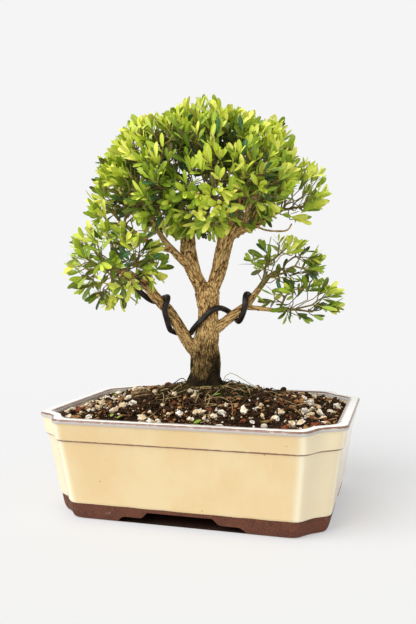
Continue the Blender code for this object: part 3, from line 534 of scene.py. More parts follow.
# Loose grain in the order it falls: (kind, how many, half widths, how far from the trunk it becomes
# common, how far apart as a share of touching, how far its middle stands above the mound, as a share)
LOOSE_GRAIN = (
    ("pumice_grains", 180, (0.0012, 0.0029), 0.115, 0.75, 0.10),
    ("lava_grains", 110, (0.0009, 0.0022), 0.080, 0.70, 0.20),
    ("bark_chips", 260, (0.0013, 0.0034), 0.040, 0.60, 0.20),
    ("dark_chips", 620, (0.0011, 0.0030), 0.020, 0.55, 0.05),
    ("pumice_grains", 190, (0.0005, 0.0013), 0.110, 0.70, 0.30),
    ("fine_grit", 1100, (0.0004, 0.0010), 0.020, 0.60, 0.30),
)
SHAPES_A_KIND = 8
COARSE_HALF = 0.0017  # half width from which a grain has more faces


def lump_places():
    """The coarse grains' places, as (x, y, how far they stand above the heap)."""
    rng = np.random.default_rng(LUMP_SEED)
    places, chosen = [], []
    count = int(MOUTH_HALF_X / LUMP_PITCH)
    for row in range(-count, count + 1):
        for column in range(-count, count + 1):
            place = np.array((column + row % 2 / 2, row * math.sqrt(0.75))) * LUMP_PITCH
            place = place + rng.uniform(-LUMP_STRAY, LUMP_STRAY, 2)
            reach = mouth_reach(math.atan2(place[1], place[0]))
            if SEAT_RADIUS + LUMP_MARGIN < np.hypot(*place) < reach - LUMP_MARGIN:
                places.append(place)
    for k in rng.permutation(len(places)):
        if all(math.dist(places[k], places[other]) > LUMPS_APART for other in chosen):
            chosen.append(k)
    return [(*places[k], rng.uniform(*LUMP_HEIGHTS)) for k in chosen]


def lump_shapes(rng, level, jag, narrow, squash):
    """Rough grains of about unit radius: (vertices, faces) each."""
    found = []
    for _ in range(SHAPES_A_KIND):
        shape = bmesh.new()
        bmesh.ops.create_icosphere(shape, subdivisions=level, radius=1.0)
        shift = Vector(rng.uniform(-50, 50, 3))
        points = []
        for vertex in shape.verts:
            swell = 1 + jag * noise.noise(vertex.co * 1.3 + shift) + 0.5 * jag * noise.noise(
                vertex.co * 3.1 + shift)
            points.append(vertex.co * swell)
        stretch = np.array((1.0, rng.uniform(*narrow), rng.uniform(*squash)))
        faces = [[vertex.index for vertex in face.verts] for face in shape.faces]
        found.append((np.array(points) * stretch, np.array(faces)))
        shape.free()
    return found


def turned(rng, lie_flat):
    """A turn about Z, with a tip of up to lie_flat radians."""
    tip = Matrix.Rotation(rng.uniform(-lie_flat, lie_flat), 3, "X")
    tip = tip @ Matrix.Rotation(rng.uniform(-lie_flat, lie_flat), 3, "Y")
    return np.array(Matrix.Rotation(rng.uniform(0, math.tau), 3, "Z") @ tip)


def joined(parts):
    """Many (vertices, faces) as one."""
    offsets = np.cumsum([0] + [len(points) for points, _ in parts[:-1]])
    return (np.vstack([points for points, _ in parts]),
            [list(face + start) for (_, faces), start in zip(parts, offsets) for face in faces])


class Grains:
    """One kind of grain, laid on the mound and joined."""

    laid = [(0.0, 0.0, 0.013)]  # of every kind: (x, y, half width); the trunk comes first

    def __init__(self, rng, name, jag, narrow, squash):
        self.rng, self.name = rng, name
        self.coarse = lump_shapes(rng, 2, jag, narrow, squash)
        self.fine = lump_shapes(rng, 1, jag, narrow, squash)
        self.parts = []

    def lay(self, x, y, half, base, tip=0.5):
        points, faces = (self.coarse if half > COARSE_HALF else self.fine)[self.rng.integers(SHAPES_A_KIND)]
        self.parts.append((points @ turned(self.rng, tip).T * half + (x, y, base), faces))
        Grains.laid.append((x, y, half))

    def lay_by_hand(self, rows, lift, tip=0.5):
        for across, back, half in rows:
            x, y = across / 1000, back / 1000
            self.lay(x, y, half / 1000, float(mound_height(x, y)) + lift, tip)

    def crowded(self, x, y, half, overlap):
        others = np.array(Grains.laid)
        return (np.hypot(others[:, 0] - x, others[:, 1] - y) < overlap * (others[:, 2] + half)).any()

    def scatter(self, count, halves, from_trunk, overlap, sunk):
        """from_trunk is how far out they become common."""
        done = tries = 0
        while done < count and tries < count * 30:
            tries += 1
            half = halves[0] + (halves[1] - halves[0]) * self.rng.uniform() ** 1.8
            angle = self.rng.uniform(0, math.tau)
            distance = (float(mouth_reach(angle)) - half - 0.0008) * math.sqrt(self.rng.uniform())
            x, y = math.cos(angle) * distance, math.sin(angle) * distance
            if self.rng.uniform() > (distance / from_trunk) ** 1.5 or self.crowded(x, y, half, overlap):
                continue
            if self.rng.uniform(-0.5, 0.3) > noise.noise(Vector((x * 45, y * 45, half))):
                continue
            self.lay(x, y, half, float(mound_height(x, y)) + half * sunk)
            done += 1

    def make(self, material):
        soil_piece(self.name, *joined(self.parts), [material])


def pumice_stone():
    stone = Nodes("pumice")
    pores = stone.cells(1500.0)
    colour = stone.mix(stone.spread(stone.noise(110.0, 2.0), 0.40, 0.60), PUMICE_CREAM, PUMICE_WHITE)
    colour = stone.mix(stone.spread(stone.noise(230.0, 4.0), 0.54, 0.68, 0.0, 0.7), colour, PUMICE_STAIN)
    colour = stone.mix(stone.spread(pores, 0.10, 0.35, 0.45, 0.0), colour, PUMICE_PORE)
    stone.bump(pores, 0.0004, 0.7)
    return stone.finish(colour, 0.9, specular=0.3)


def plain_grain(name, first, second, scale=400.0, roughness=0.9):
    grain = Nodes(name)
    speckle = grain.noise(scale, 4.0)
    grain.bump(speckle, 0.0004, 0.7)
    return grain.finish(grain.mix(grain.spread(speckle, 0.35, 0.65), first, second), roughness,
                        specular=0.12)


def make_grains(rng):
    """The largest stones, the lumps, the fallen leaves and the loose grain, in the order they fall."""
    kinds = {name: Grains(rng, name, *shape) for name, (*shape, _) in GRAIN_KINDS.items()}
    kinds["pumice_grains"].lay_by_hand(TOP_STONES, 0.0004)
    for x, y, rise in lump_places():
        kind = kinds[rng.choice(list(LUMP_SHARES), p=list(LUMP_SHARES.values()))]
        half = rise * rng.uniform(0.95, 1.35)
        if not kind.crowded(x, y, half, 0.55):
            kind.lay(x, y, half, float(mound_height(x, y, HEAP_SWELL)) + rise - 1.1 * half)
    kinds["fallen_leaves"].lay_by_hand(FALLEN_LEAVES, 0.0016, 0.35)
    for name, *layer in LOOSE_GRAIN:
        kinds[name].scatter(*layer)
    for name, (*_, tones) in GRAIN_KINDS.items():
        kinds[name].make(plain_grain(*tones) if tones else pumice_stone())


soil_rng = np.random.default_rng(SOIL_SEED)
make_grains(soil_rng)

# ================================================================ the litter and the moss
# Dry grass stalks and fine roots on the soil, most of them near the trunk, one dry stem that stands up in
# an arch, and short moss round the trunk's foot.

# Dry stalks: (tone, colour, how many)
STALKS = (("straw", (0.50, 0.35, 0.16), 60), ("root", (0.105, 0.055, 0.026), 150),
          ("pale_straw", (0.50, 0.39, 0.20), 26))
STALK_LENGTHS, STALK_RADII = (0.008, 0.036), (0.00022, 0.00050)
STALK_TAPER = (0.6, 0.9, 1, 1, 1, 0.9, 0.8, 0.5)
ARCHED_STEM_RADIUS = 0.00026
MOSS_TRIES = 5400
MOSS_HEIGHTS, MOSS_HALF_WIDTHS = (0.0018, 0.0040), (0.00025, 0.00045)
MOSS_DRY_SHARE = 0.35
# The arched stem, in millimetres
ARCHED_STEM = ((13.6, 4.1, 101.0), (15.7, 4.7, 105.8), (19.8, 5.9, 108.3), (24.3, 7.3, 106.5),
               (30.9, 9.2, 102.1), (37.4, 11.2, 97.7), (42.3, 12.7, 94.6), (47.2, 14.2, 91.0))


def thin_tubes(runs, sides):
    """Tapering tubes as (vertices, faces), one along each run of points with its radii."""
    parts = []
    turn = np.arange(sides) * math.tau / sides
    for points, radii in runs:
        points = np.asarray(points, float)
        ways = np.gradient(points, axis=0)
        ways /= np.linalg.norm(ways, axis=1)[:, None] + 1e-12
        level = np.cross(ways[0], (0.0, 0.0, 1.0) if abs(ways[0][2]) < 0.9 else (1.0, 0.0, 0.0))
        rings = []
        for point, way, radius in zip(points, ways, radii):
            level = level - way * (level @ way)
            level /= np.linalg.norm(level) + 1e-12
            steep = np.cross(way, level)
            rings.append(point + radius * (np.outer(np.cos(turn), level) + np.outer(np.sin(turn), steep)))
        parts.append((np.vstack(rings), [np.array(face) for face in ring_faces(len(rings), sides)]))
    return joined(parts)


def dry_stalk(rng, x, y, length, arch_height, radius):
    """One dry grass stalk or root lying on the mound, as points and radii."""
    way = rng.uniform(0, math.tau)
    bend = rng.normal(0, 0.5)
    points = []
    for share in np.linspace(0, 1, len(STALK_TAPER)):
        way_here = way + bend * (share - 0.5)
        a = x + math.cos(way_here) * length * (share - 0.5)
        b = y + math.sin(way_here) * length * (share - 0.5)
        lift = arch_height * math.sin(math.pi * share) ** 2
        points.append((a, b, float(mound_height(a, b)) + 0.0008 + lift))
    return np.array(points), radius * np.array(STALK_TAPER)


def make_litter(rng):
    """Dry grass and roots in three tones, most of them near the trunk."""
    for tone, colour, count in STALKS:
        runs = []
        while len(runs) < count:
            angle, distance = rng.uniform(0, math.tau), 0.016 + abs(rng.normal(0, 0.030))
            x, y = math.cos(angle) * distance * 1.35, math.sin(angle) * distance
            points, radii = dry_stalk(rng, x, y, rng.uniform(*STALK_LENGTHS),
                                      max(0, rng.normal(0.0008, 0.0014)), rng.uniform(*STALK_RADII))
            reach = mouth_reach(np.arctan2(points[:, 1], points[:, 0])) - 0.002
            if (np.hypot(points[:, 0], points[:, 1]) < reach).all():
                runs.append((points, radii))
        if tone == "pale_straw":
            runs.append((np.array(ARCHED_STEM) / 1000, [ARCHED_STEM_RADIUS] * len(ARCHED_STEM)))
        soil_piece("dry_" + tone, *thin_tubes(runs, 5),
                   [plain_grain("dry_" + tone, colour, tuple(0.6 * c for c in colour), 600.0)])


def make_moss(rng):
    """Short blades of moss and seedling grass round the foot of the trunk."""
    vertices, faces, tints = [], [], []
    for _ in range(MOSS_TRIES):
        angle, distance = rng.uniform(0, math.tau), 0.0130 + abs(rng.normal(0, 0.016))
        if noise.noise(Vector((math.cos(angle), math.sin(angle), distance * 60)) * 1.7) < -0.16:
            continue
        x, y = math.cos(angle) * distance * 1.2, math.sin(angle) * distance
        base = np.array((x, y, float(mound_height(x, y)) - 0.001))
        tall = rng.uniform(*MOSS_HEIGHTS)
        side = np.array((*rng.normal(0, 1, 2), 0.0))
        side *= rng.uniform(*MOSS_HALF_WIDTHS) / np.linalg.norm(side)
        lean = np.array((*rng.normal(0, 0.5, 2), 1.0))
        start = len(vertices)
        vertices += [base - side, base + side, base + lean * tall * 0.6 + side * 0.7, base + lean * tall]
        faces += [(start, start + 1, start + 2), (start, start + 2, start + 3)]
        tints += [int(rng.uniform() < MOSS_DRY_SHARE)] * 2
    soil_piece("moss", vertices, faces,
               [plain_grain("moss_dark", (0.032, 0.040, 0.010), (0.020, 0.018, 0.008)),
                plain_grain("moss_dry", (0.150, 0.130, 0.034), (0.070, 0.080, 0.018))], tints, False)


make_litter(soil_rng)
make_moss(soil_rng)

# ================================================================ the trunk and its boughs
# Old boxwood: pale wood under corky tan bark that cracks into long flakes, darker and mossy at the foot.
# The trunk forks into two stems, and each limb tapers into the twigs that it carries.

TREE_TURN = math.radians(16.7)  # the tree's best side is turned towards the pot's right
TREE = Matrix.Rotation(TREE_TURN, 4, "Z")
LIMB_STEP = 0.0015
LIMB_SIDES = 28
WOOD_VOXEL = 0.00055
WOOD_SOFTENING = 6
FLAKE_LENGTH = 0.0070
FLAKE_WIDTH = 0.0019
BARK_DEPTH = 0.0016  # from ridge to crack on the trunk
BARK_DEPTH_SHARE = 0.15  # the same, as a share of the radius, on thin limbs
BARK_LEVEL = 0.55  # the relief that lies at the limb's own radius
CRACK_WIDTH = 0.30  # in flakes
BARK_SEED = 1
BARK_TAN, BARK_PALE, BARK_OLIVE = (0.52, 0.300, 0.105), (0.90, 0.61, 0.26), (0.36, 0.27, 0.10)
BARK_CRACK = (0.070, 0.032, 0.012)
FOOT_DARK, FOOT_MOSS, FOOT_TAN = (0.018, 0.011, 0.005), (0.070, 0.048, 0.012), (0.34, 0.20, 0.060)
FOOT_FADE, FOOT_BLACK = (0.106, 0.158), (0.103, 0.124)  # heights over which the mossy foot gives way

# Each limb's route in the tree's frame, as rows of x, y, z and radius
LIMBS = {
    "trunk": (
        (-0.0012, 0.0, 0.094, 0.016), (-0.0011, 0.0, 0.104, 0.0132), (-0.0004, 0.0, 0.119, 0.013),
        (-0.001, 0.0, 0.129, 0.0122), (0.001, 0.0, 0.141, 0.0103), (0.0024, 0.0, 0.16, 0.0087),
        (0.0016, 0.0, 0.179, 0.0105), (0.0022, 0.0, 0.185, 0.0055)),
    "stem_left": (
        (-0.0011, 0.0, 0.178, 0.006), (-0.0095, 0.003, 0.1949, 0.0063), (-0.014, 0.005, 0.213, 0.0072),
        (-0.015, 0.009, 0.234, 0.0052), (-0.026, 0.008, 0.256, 0.0036), (-0.04, 0.005, 0.272, 0.0026)),
    "stem_right": (
        (0.005, 0.0, 0.178, 0.006), (0.0113, -0.002, 0.1945, 0.0064), (0.0177, -0.004, 0.221, 0.0068),
        (0.027, -0.004, 0.245, 0.0047), (0.024, 0.001, 0.268, 0.0032), (0.01, 0.002, 0.285, 0.0023)),
    "bough_low_left": (
        (-0.004, 0.0, 0.123, 0.0058), (-0.0137, 0.0, 0.1329, 0.0054), (-0.0285, -0.004, 0.159, 0.0048),
        (-0.0411, -0.007, 0.1735, 0.0045), (-0.0521, -0.009, 0.1872, 0.004),
        (-0.07, -0.01, 0.1959, 0.0028)),
    "bough_low_right": (
        (0.003, 0.0, 0.142, 0.005), (0.013, -0.002, 0.1498, 0.0045), (0.0258, -0.005, 0.16, 0.0039),
        (0.0355, -0.006, 0.1675, 0.0033), (0.0457, -0.006, 0.1807, 0.0025)),
    "bough_low_right_side": (
        (0.031, -0.006, 0.1645, 0.002), (0.0423, -0.008, 0.1641, 0.0021), (0.0561, -0.012, 0.1624, 0.0017)),
    "side_limb_left": (
        (-0.013, 0.003, 0.2, 0.0042), (-0.0227, -0.002, 0.2089, 0.0034), (-0.0355, -0.01, 0.2246, 0.0024),
        (-0.046, -0.022, 0.245, 0.0018)),
    "side_limb_left_low": (
        (-0.0275, -0.005, 0.213, 0.002), (-0.041, -0.012, 0.217, 0.002), (-0.06, -0.014, 0.23, 0.0016)),
    "side_limb_right": (
        (0.02, -0.004, 0.224, 0.0046), (0.0301, -0.002, 0.2302, 0.0043), (0.0422, 0.0, 0.2344, 0.0033),
        (0.0618, 0.004, 0.245, 0.0018)),
    "drooping_twig": (
        (0.043, 0.0, 0.234, 0.001), (0.053, -0.003, 0.2295, 0.001), (0.069, -0.004, 0.229, 0.0009),
        (0.074, -0.004, 0.235, 0.0008)),
    "limb_upper_right": (
        (0.04, -0.001, 0.233, 0.0027), (0.044, -0.003, 0.25, 0.0026), (0.042, -0.006, 0.266, 0.0024),
        (0.051, -0.005, 0.286, 0.0019)),
    "limb_back_left": (
        (-0.0155, 0.009, 0.236, 0.003), (-0.022, 0.026, 0.25, 0.0025), (-0.028, 0.038, 0.259, 0.0019)),
    "limb_back_right": (
        (0.0268, -0.003, 0.244, 0.0028), (0.033, 0.016, 0.256, 0.0024), (0.037, 0.032, 0.264, 0.0018)),
    "limb_front": (
        (0.025, -0.004, 0.238, 0.0026), (0.016, -0.022, 0.244, 0.0022), (0.004, -0.036, 0.25, 0.0017)),
    "limb_front_right": (
        (0.033, -0.001, 0.2315, 0.0024), (0.036, -0.018, 0.246, 0.0021), (0.041, -0.034, 0.258, 0.0016)),
}
AT_ONCE = 4000  # points that are measured against the limbs at a time
SLIM_FAVOUR = 0.002  # added to a limb's radius when limbs compete for a point
# Surface roots that swell the trunk's foot: (angle, how far they run out, radius)
ROOT_SWELLS = ((-2.2, 0.0165, 0.0042), (-0.9, 0.0175, 0.0038), (0.4, 0.0160, 0.0040), (1.7, 0.0165, 0.0045),
               (2.9, 0.0172, 0.0040))


def smooth_route(rows, step):
    """Rows of x, y, z and radius along a smooth curve through the given rows, about a step apart."""
    rows = np.array(rows, float)
    ends = np.vstack((2 * rows[0] - rows[1], rows, 2 * rows[-1] - rows[-2]))
    found = [rows[0]]
    for before, start, stop, after in zip(ends, ends[1:], ends[2:], ends[3:]):
        count = max(1, round(np.linalg.norm((stop - start)[:3]) / step))
        for k in range(1, count + 1):
            t = k / count
            found.append(0.5 * (2 * start + (stop - before) * t
                                + (2 * before - 5 * start + 4 * stop - after) * t ** 2
                                + (3 * start - before - 3 * stop + after) * t ** 3))
    return np.array(found)


def root_rows(angle, reach, radius):
    """A surface root's route, from inside the trunk down and out to where it goes under."""
    way = np.array((math.cos(angle), math.sin(angle)))
    foot = np.array(LIMBS["trunk"][0][:2])
    rows = []
    for out, height, size in ((0.006, 0.118, 0.9), (0.0095, 0.107, 1.0), (reach - 0.003, 0.0985, 0.9),
                              (reach, 0.0950, 0.7)):
        rows.append((*(foot + way * out), height, radius * size))
    return rows


def run_lengths(route):
    """How far along a route each of its rows lies."""
    steps = np.linalg.norm(np.diff(route[:, :3], axis=0), axis=1)
    return np.concatenate(([0], np.cumsum(steps)))


def nearest_limb(points, routes):
    """For each point: its limb, how far along it lies, its place across it, and the radius there."""
    samples = np.vstack(routes)
    owner = np.concatenate([[k] * len(route) for k, route in enumerate(routes)])
    along = np.concatenate([run_lengths(route) for route in routes])
    ways = np.vstack([np.gradient(route[:, :3], axis=0) for route in routes])
    ways /= np.linalg.norm(ways, axis=1)[:, None]
    found = np.zeros(len(points), int)
    for start in range(0, len(points), AT_ONCE):
        away = np.linalg.norm(points[start:start + AT_ONCE, None] - samples[None, :, :3], axis=2)
        found[start:start + AT_ONCE] = (away / (samples[:, 3] + SLIM_FAVOUR)).argmin(axis=1)
    offset = points - samples[found, :3]
    forward = np.einsum("ij,ij->i", offset, ways[found])
    across = offset - forward[:, None] * ways[found]
    return owner[found], along[found] + forward, across, samples[found, 3]


def bark_places(along, across, owner):
    """Places in the bark's own pattern, one unit across and along a flake, for points on the limbs."""
    found = across / FLAKE_WIDTH
    found[:, 2] += along / FLAKE_LENGTH
    return found + np.outer(owner, (7.3, 1.9, 4.1))


def bark_relief(places):
    """Height from 0 in a crack to 1 on a flake's raised edge."""
    found = np.zeros(len(places))
    for k, place in enumerate(places):
        place = Vector(place)
        place += 0.45 * noise.noise_vector(place * 0.7)
        distances, cells = noise.voronoi(place)
        crack = min(1.0, (distances[1] - distances[0]) / CRACK_WIDTH)
        flake = crack * crack * (3 - 2 * crack)
        height = 0.50 + 0.45 * noise.noise(cells[0] * 5.1)
        found[k] = height * flake + 0.22 * noise.noise(place * 0.35) + 0.12
    return np.clip(found, 0, 1)


def tree_piece(piece, slot, *nodes):
    """Turns a piece of the tree as the tree stands in the pot, and hides the parts that it stands for; its
    slot is not used.
    """
    piece.data.transform(TREE)
    piece.data.shade_smooth()
    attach(piece, "root")
    if nodes:
        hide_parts(*nodes)


def corky_bark():
    bark = Nodes("corky_bark")
    relief = bark.stored("bark_relief")
    place = bark.add("ShaderNodeAttribute", attribute_name="bark_place").outputs["Vector"]
    strips = bark.noise(1.7, 5.0, 0.65, place=place)
    edges = bark.spread(bark.cells(1.6, "DISTANCE_TO_EDGE", place=place), 0.02, 0.16)
    patches = bark.noise(60.0, 3.0)
    level = bark.math("ADD", bark.math("MULTIPLY", relief, 0.75),
                      bark.spread(strips, 0.3, 0.7, -0.16, 0.22))
    level = bark.math("ADD", level, bark.math("MULTIPLY", edges, 0.16))
    colour = bark.mix(bark.spread(level, 0.12, 0.38), BARK_CRACK, BARK_TAN)
    colour = bark.mix(bark.spread(level, 0.38, 0.66), colour, BARK_PALE)
    colour = bark.mix(bark.spread(patches, 0.50, 0.72, 0.0, 0.35), colour, BARK_OLIVE)
    lower = bark.math("ADD", bark.height(), bark.spread(patches, 0.2, 0.8, -0.016, 0.016))
    foot = bark.mix(bark.spread(level, 0.20, 0.60), FOOT_DARK, FOOT_MOSS)
    foot = bark.mix(bark.spread(strips, 0.52, 0.66, 0.0, 0.6), foot, FOOT_TAN)
    colour = bark.mix(bark.spread(lower, *FOOT_FADE, 0.95, 0.0), colour, foot)
    colour = bark.mix(bark.spread(lower, *FOOT_BLACK, 0.94, 0.0), colour, FOOT_DARK)
    bark.bump(bark.math("ADD", strips, bark.math("MULTIPLY", edges, 0.5)), 0.0007, 0.9)
    return bark.finish(colour, 0.90, specular=0.12)


def make_wood():
    routes = [smooth_route(rows, LIMB_STEP) for rows in LIMBS.values()]
    routes += [smooth_route(root_rows(*root), LIMB_STEP) for root in ROOT_SWELLS]
    vertices, faces = thin_tubes([(route[:, :3], route[:, 3]) for route in routes], LIMB_SIDES)
    wood = mesh_object("trunk_and_boughs", vertices, faces, [corky_bark()])
    remesh = wood.modifiers.new("one_skin", "REMESH")
    remesh.mode = "VOXEL"
    remesh.voxel_size = WOOD_VOXEL
    apply_modifiers(wood)
    soften = wood.modifiers.new("soften", "SMOOTH")
    soften.factor = 0.5
    soften.iterations = WOOD_SOFTENING
    apply_modifiers(wood)
    mesh = wood.data
    points = np.zeros(len(mesh.vertices) * 3)
    mesh.vertices.foreach_get("co", points)
    points = points.reshape(-1, 3)
    normals = np.array([vertex.normal for vertex in mesh.vertices])
    owner, along, across, radius = nearest_limb(points, routes)
    places = bark_places(along, across, owner)
    relief = bark_relief(places)
    depth = np.minimum(BARK_DEPTH, BARK_DEPTH_SHARE * radius)
    points += normals * (depth * (relief - BARK_LEVEL))[:, None]
    mesh.vertices.foreach_set("co", points.ravel())
    set_attribute(mesh, "bark_relief", relief)
    set_attribute(mesh, "bark_place", places, "FLOAT_VECTOR", "vector")
    tree_piece(wood, "bark", *LIMBS)


noise.seed_set(BARK_SEED)
make_wood()

# ================================================================ the training wire
# Thick bonsai wire of brown anodised aluminium. One length is wound up the left bough, passes over the
# front of the trunk and winds up the right bough, so that the two hold each other.

WIRE_RADIUS = 0.0024
WIRE_LIFT = 0.0006
WIRE_STEP = 0.0010
WIRE_SIDES = 20
PUSHES, SOFTENINGS = 6, 4  # rounds in which the wire is lifted off the limbs, and then smoothed
CUT_END = 0.80  # the radius of the wire's cut ends, as a share
WIRE_DARK, WIRE_WORN = (0.020, 0.0155, 0.013), (0.060, 0.048, 0.040)
PLACING_STEP = 0.0021
# How far along each limb, as a share, and the angle round it from the front, in degrees
WIRE_TURNS = {
    "bough_low_left": ((0.783, 130), (0.850, 56), (0.846, -10), (0.821, -75), (0.700, -108), (0.609, -152),
                       (0.575, -225), (0.563, -300), (0.525, -369), (0.440, -403), (0.360, -428),
                       (0.294, -488), (0.239, -532)),
    "trunk": ((0.500, -98), (0.581, -54), (0.678, -17), (0.752, 20), (0.760, 62)),
    "bough_low_right": ((0.420, -150), (0.424, -200), (0.457, -274), (0.560, -315), (0.660, -360),
                        (0.760, -412), (0.830, -470), (0.840, -550)),
}
WIRED_TRUNK_FOOT = (-0.0012, 0.0, 0.0980, 0.0150)  # where the wire's shares of the trunk start


def place_on_limb(name, share, angle, lift):
    """The point at a share of a limb's length, at an angle round it from the front, a lift off its bark."""
    limb = LIMBS[name]
    if name == "trunk":
        limb = (WIRED_TRUNK_FOOT, *limb[1:])
    rows = smooth_route(limb, PLACING_STEP)
    lengths = run_lengths(rows)
    at = share * lengths[-1]
    here = np.array([np.interp(at, lengths, rows[:, k]) for k in range(4)])
    k = min(int(np.searchsorted(lengths, at)), len(rows) - 1)
    along = Vector(rows[k, :3] - rows[k - 1, :3]).normalized()
    front = Vector((0, -1, 0))
    front = (front - along * front.dot(along)).normalized()
    out = front * math.cos(angle) + along.cross(front) * math.sin(angle)
    return here[:3] + np.array(out) * (here[3] + lift)


def make_wire():
    limbs = np.vstack([smooth_route(rows, LIMB_STEP) for rows in LIMBS.values()])
    turns = [(*place_on_limb(name, share, math.radians(degrees), WIRE_RADIUS + WIRE_LIFT), WIRE_RADIUS)
             for name, stretch in WIRE_TURNS.items() for share, degrees in stretch]
    route = smooth_route(turns, WIRE_STEP)
    for _ in range(PUSHES):
        for k, point in enumerate(route[:, :3]):
            away = point - limbs[:, :3]
            depth = np.linalg.norm(away, axis=1) - limbs[:, 3]
            nearest = int(np.argmin(depth))
            short = WIRE_RADIUS + WIRE_LIFT - depth[nearest]
            if short > 0:
                route[k, :3] += away[nearest] / np.linalg.norm(away[nearest]) * short
    for _ in range(SOFTENINGS):
        route[1:-1, :3] = 0.5 * route[1:-1, :3] + 0.25 * (route[:-2, :3] + route[2:, :3])
    radii = np.full(len(route), WIRE_RADIUS)
    radii[[0, -1]] *= CUT_END
    vertices, faces = thin_tubes([(route[:, :3], radii)], WIRE_SIDES)
    metal = Nodes("brown_anodised_wire")
    wear = metal.noise(140.0, 4.0)
    colour = metal.mix(metal.spread(wear, 0.45, 0.75), WIRE_DARK, WIRE_WORN)
    metal.bump(metal.noise(700.0, 3.0), 0.0002, 0.4)
    wire = mesh_object("wound_wire", vertices, faces,
                       [metal.finish(colour, metal.spread(wear, 0.3, 0.7, 0.34, 0.52), metallic=0.5)])
    tree_piece(wire, "wire", "training_wire")
    return route


wire_route = make_wire()

# ================================================================ the foliage
# Boxwood leaves are small, leathery and spoon-shaped, set in crossed pairs on thin twigs. New growth at
# the shoots' ends is bright yellow-green, and the older leaves further in are darker or bluish.
# Deeper in, on the lower side and about the crown's middle the tints are also darkened, as painted shade.

GAP = 0.0003
CROWN_MIDDLE = np.array((0.005, 0.0, 0.272))
CROWN_HALF = np.array((0.079, 0.076, 0.061))  # towards the right, the back and the top
CROWN_OTHER_HALF = np.array((0.097, 0.076, 0.050))  # towards the left, the front and below
# mass: (the limb that carries it, its middle, half-widths of its own round form, whether it also fills
# the crown's form, main twigs, seed, fine twigs, how old its leaves look from 0 to 1)
MASSES = {
    "low_left": ("bough_low_left", (-0.073, -0.01, 0.204), (0.045, 0.04, 0.04), False, 15, 11, 110, 0.3),
    "low_right_top": ("bough_low_right", (0.066, -0.006, 0.199), (0.036, 0.027, 0.026), False, 13, 12,
                      34, 0.44),
    "low_right_side": ("bough_low_right_side", (0.079, -0.012, 0.171), (0.037, 0.026, 0.021), False,
                       12, 13, 30, 0.48),
    "left": ("side_limb_left_low", (-0.07, -0.004, 0.252), (0.028, 0.036, 0.034), True, 10, 14, 90, 0.28),
    "upper_left": ("stem_left", (-0.046, 0.006, 0.302), (0.03, 0.03, 0.03), True, 9, 15, 80, 0.2),
    "top": ("stem_right", (0.002, 0.004, 0.316), (0.03, 0.034, 0.03), True, 9, 16, 90, 0.14),
    "upper_right": ("limb_upper_right", (0.052, -0.002, 0.303), (0.026, 0.03, 0.022), True, 8, 17, 64, 0.18),
    "right": ("side_limb_right", (0.08, 0.0, 0.262), (0.028, 0.034, 0.028), True, 7, 18, 56, 0.05),
    "front_left": ("side_limb_left", (-0.04, -0.042, 0.264), (0.03, 0.034, 0.034), True, 10, 19, 96, 0.17),
    "front": ("limb_front", (0.0, -0.048, 0.256), (0.03, 0.032, 0.038), True, 9, 20, 100, 0.0),
    "front_right": ("limb_front_right", (0.044, -0.042, 0.266), (0.03, 0.034, 0.03), True, 8, 21, 84, 0.24),
    "back_left": ("limb_back_left", (-0.03, 0.048, 0.268), (0.03, 0.032, 0.036), True, 10, 22, 76, 0.3),
    "back_right": ("limb_back_right", (0.038, 0.046, 0.268), (0.03, 0.032, 0.036), True, 9, 23, 76, 0.3),
}
# Twig ends that fill a mass's underside, besides those it grows by its own rule
LOW_ENDS = {
    "right": ((0.064, -0.010, 0.2420), (0.070, -0.014, 0.2375), (0.077, -0.006, 0.2385),
              (0.083, -0.012, 0.2440), (0.072, 0.002, 0.2415)),
    "low_right_side": ((0.052, -0.014, 0.1690), (0.057, -0.018, 0.1760), (0.087, -0.015, 0.1590),
                       (0.096, -0.012, 0.1620), (0.103, -0.010, 0.1660)),
}
MASS_REACH = 0.075
GRID_POINTS = 9000  # random places among which a mass's twig ends are picked
CANDIDATES, FINE_CANDIDATES = 24, 10
MAIN_DEPTH = 0.015  # how far inside its form a main twig ends
FINE_DEPTH = 0.009  # the same for a fine twig, before its leafy shoot
TIP_FROM_LIMB = 0.005
TIP_FROM_PLANE = 0.002
ROOM_ENOUGH = 0.050
DEEP_TIP = 0.25  # how much a place deep inside is put off, for each metre
BALANCE = 0.35  # how much a long way back to the limb counts against a twig's start
BACKWARD = 0.6  # the same for a sharp turn
STARTS = 8
BENDS = (0.35, 0.0)
STEM_LENGTH = 0.006
TWIG_STEP = 0.006
TOO_SHORT = 0.0003
TWIG_TIP_RADIUS = 0.00042
TWIG_KINK = 0.0006
TWIG_SIDES = 5
FORK_SWELL = 1.15

# A shoot grows along its twig, out from the crown's heart and up, and strays
ALONG_TWIG, OUTWARD, SHOOT_STRAY = 0.45, 0.60, 0.24
UPRIGHT, UPRIGHT_BELOW = 0.50, 0.10  # how far it turns up, and the same low on the tree
LOW_SIDE = -0.35  # where low on the tree begins, on the way out from the heart
SHOOT_LENGTHS = (0.006, 0.019)
SHORTEST_SHOOT, SHORTENED = 0.004, 0.8
LEAF_ROOM = 0.010  # what a shoot leaves free beyond its end
LEAF_CLEAR = 0.0010
OVERHANGS = (0.0, 0.0048)  # how far a shoot's leaves may stand out of its mass's form
CROWN_TOP, TOP_FADE = 0.336, 0.016  # the height where they no longer do, and the stretch below it
CROSSING = 0.0070  # how far they may reach in among the next mass's leaves
LEAF_LENGTHS = (0.0105, 0.0180)
LEAF_WIDTH_SHARE = 0.33
RIB_SHARE = 0.10  # the pale midrib's part of the leaf's width
LEAF_ROWS = ((0.0, 0.05), (0.10, 0.18), (0.28, 0.58), (0.48, 0.90), (0.66, 1.0), (0.82, 0.88),
             (0.94, 0.54), (1.0, 0.14))  # (share of the length, share of the half-width)
LEAF_MARKS, MIDDLE_SHARE = (0.35, 0.65, 1.0), 0.6  # where along a leaf its room and spacing are measured
LEAF_KINDS, LEAF_SEED = 12, 3
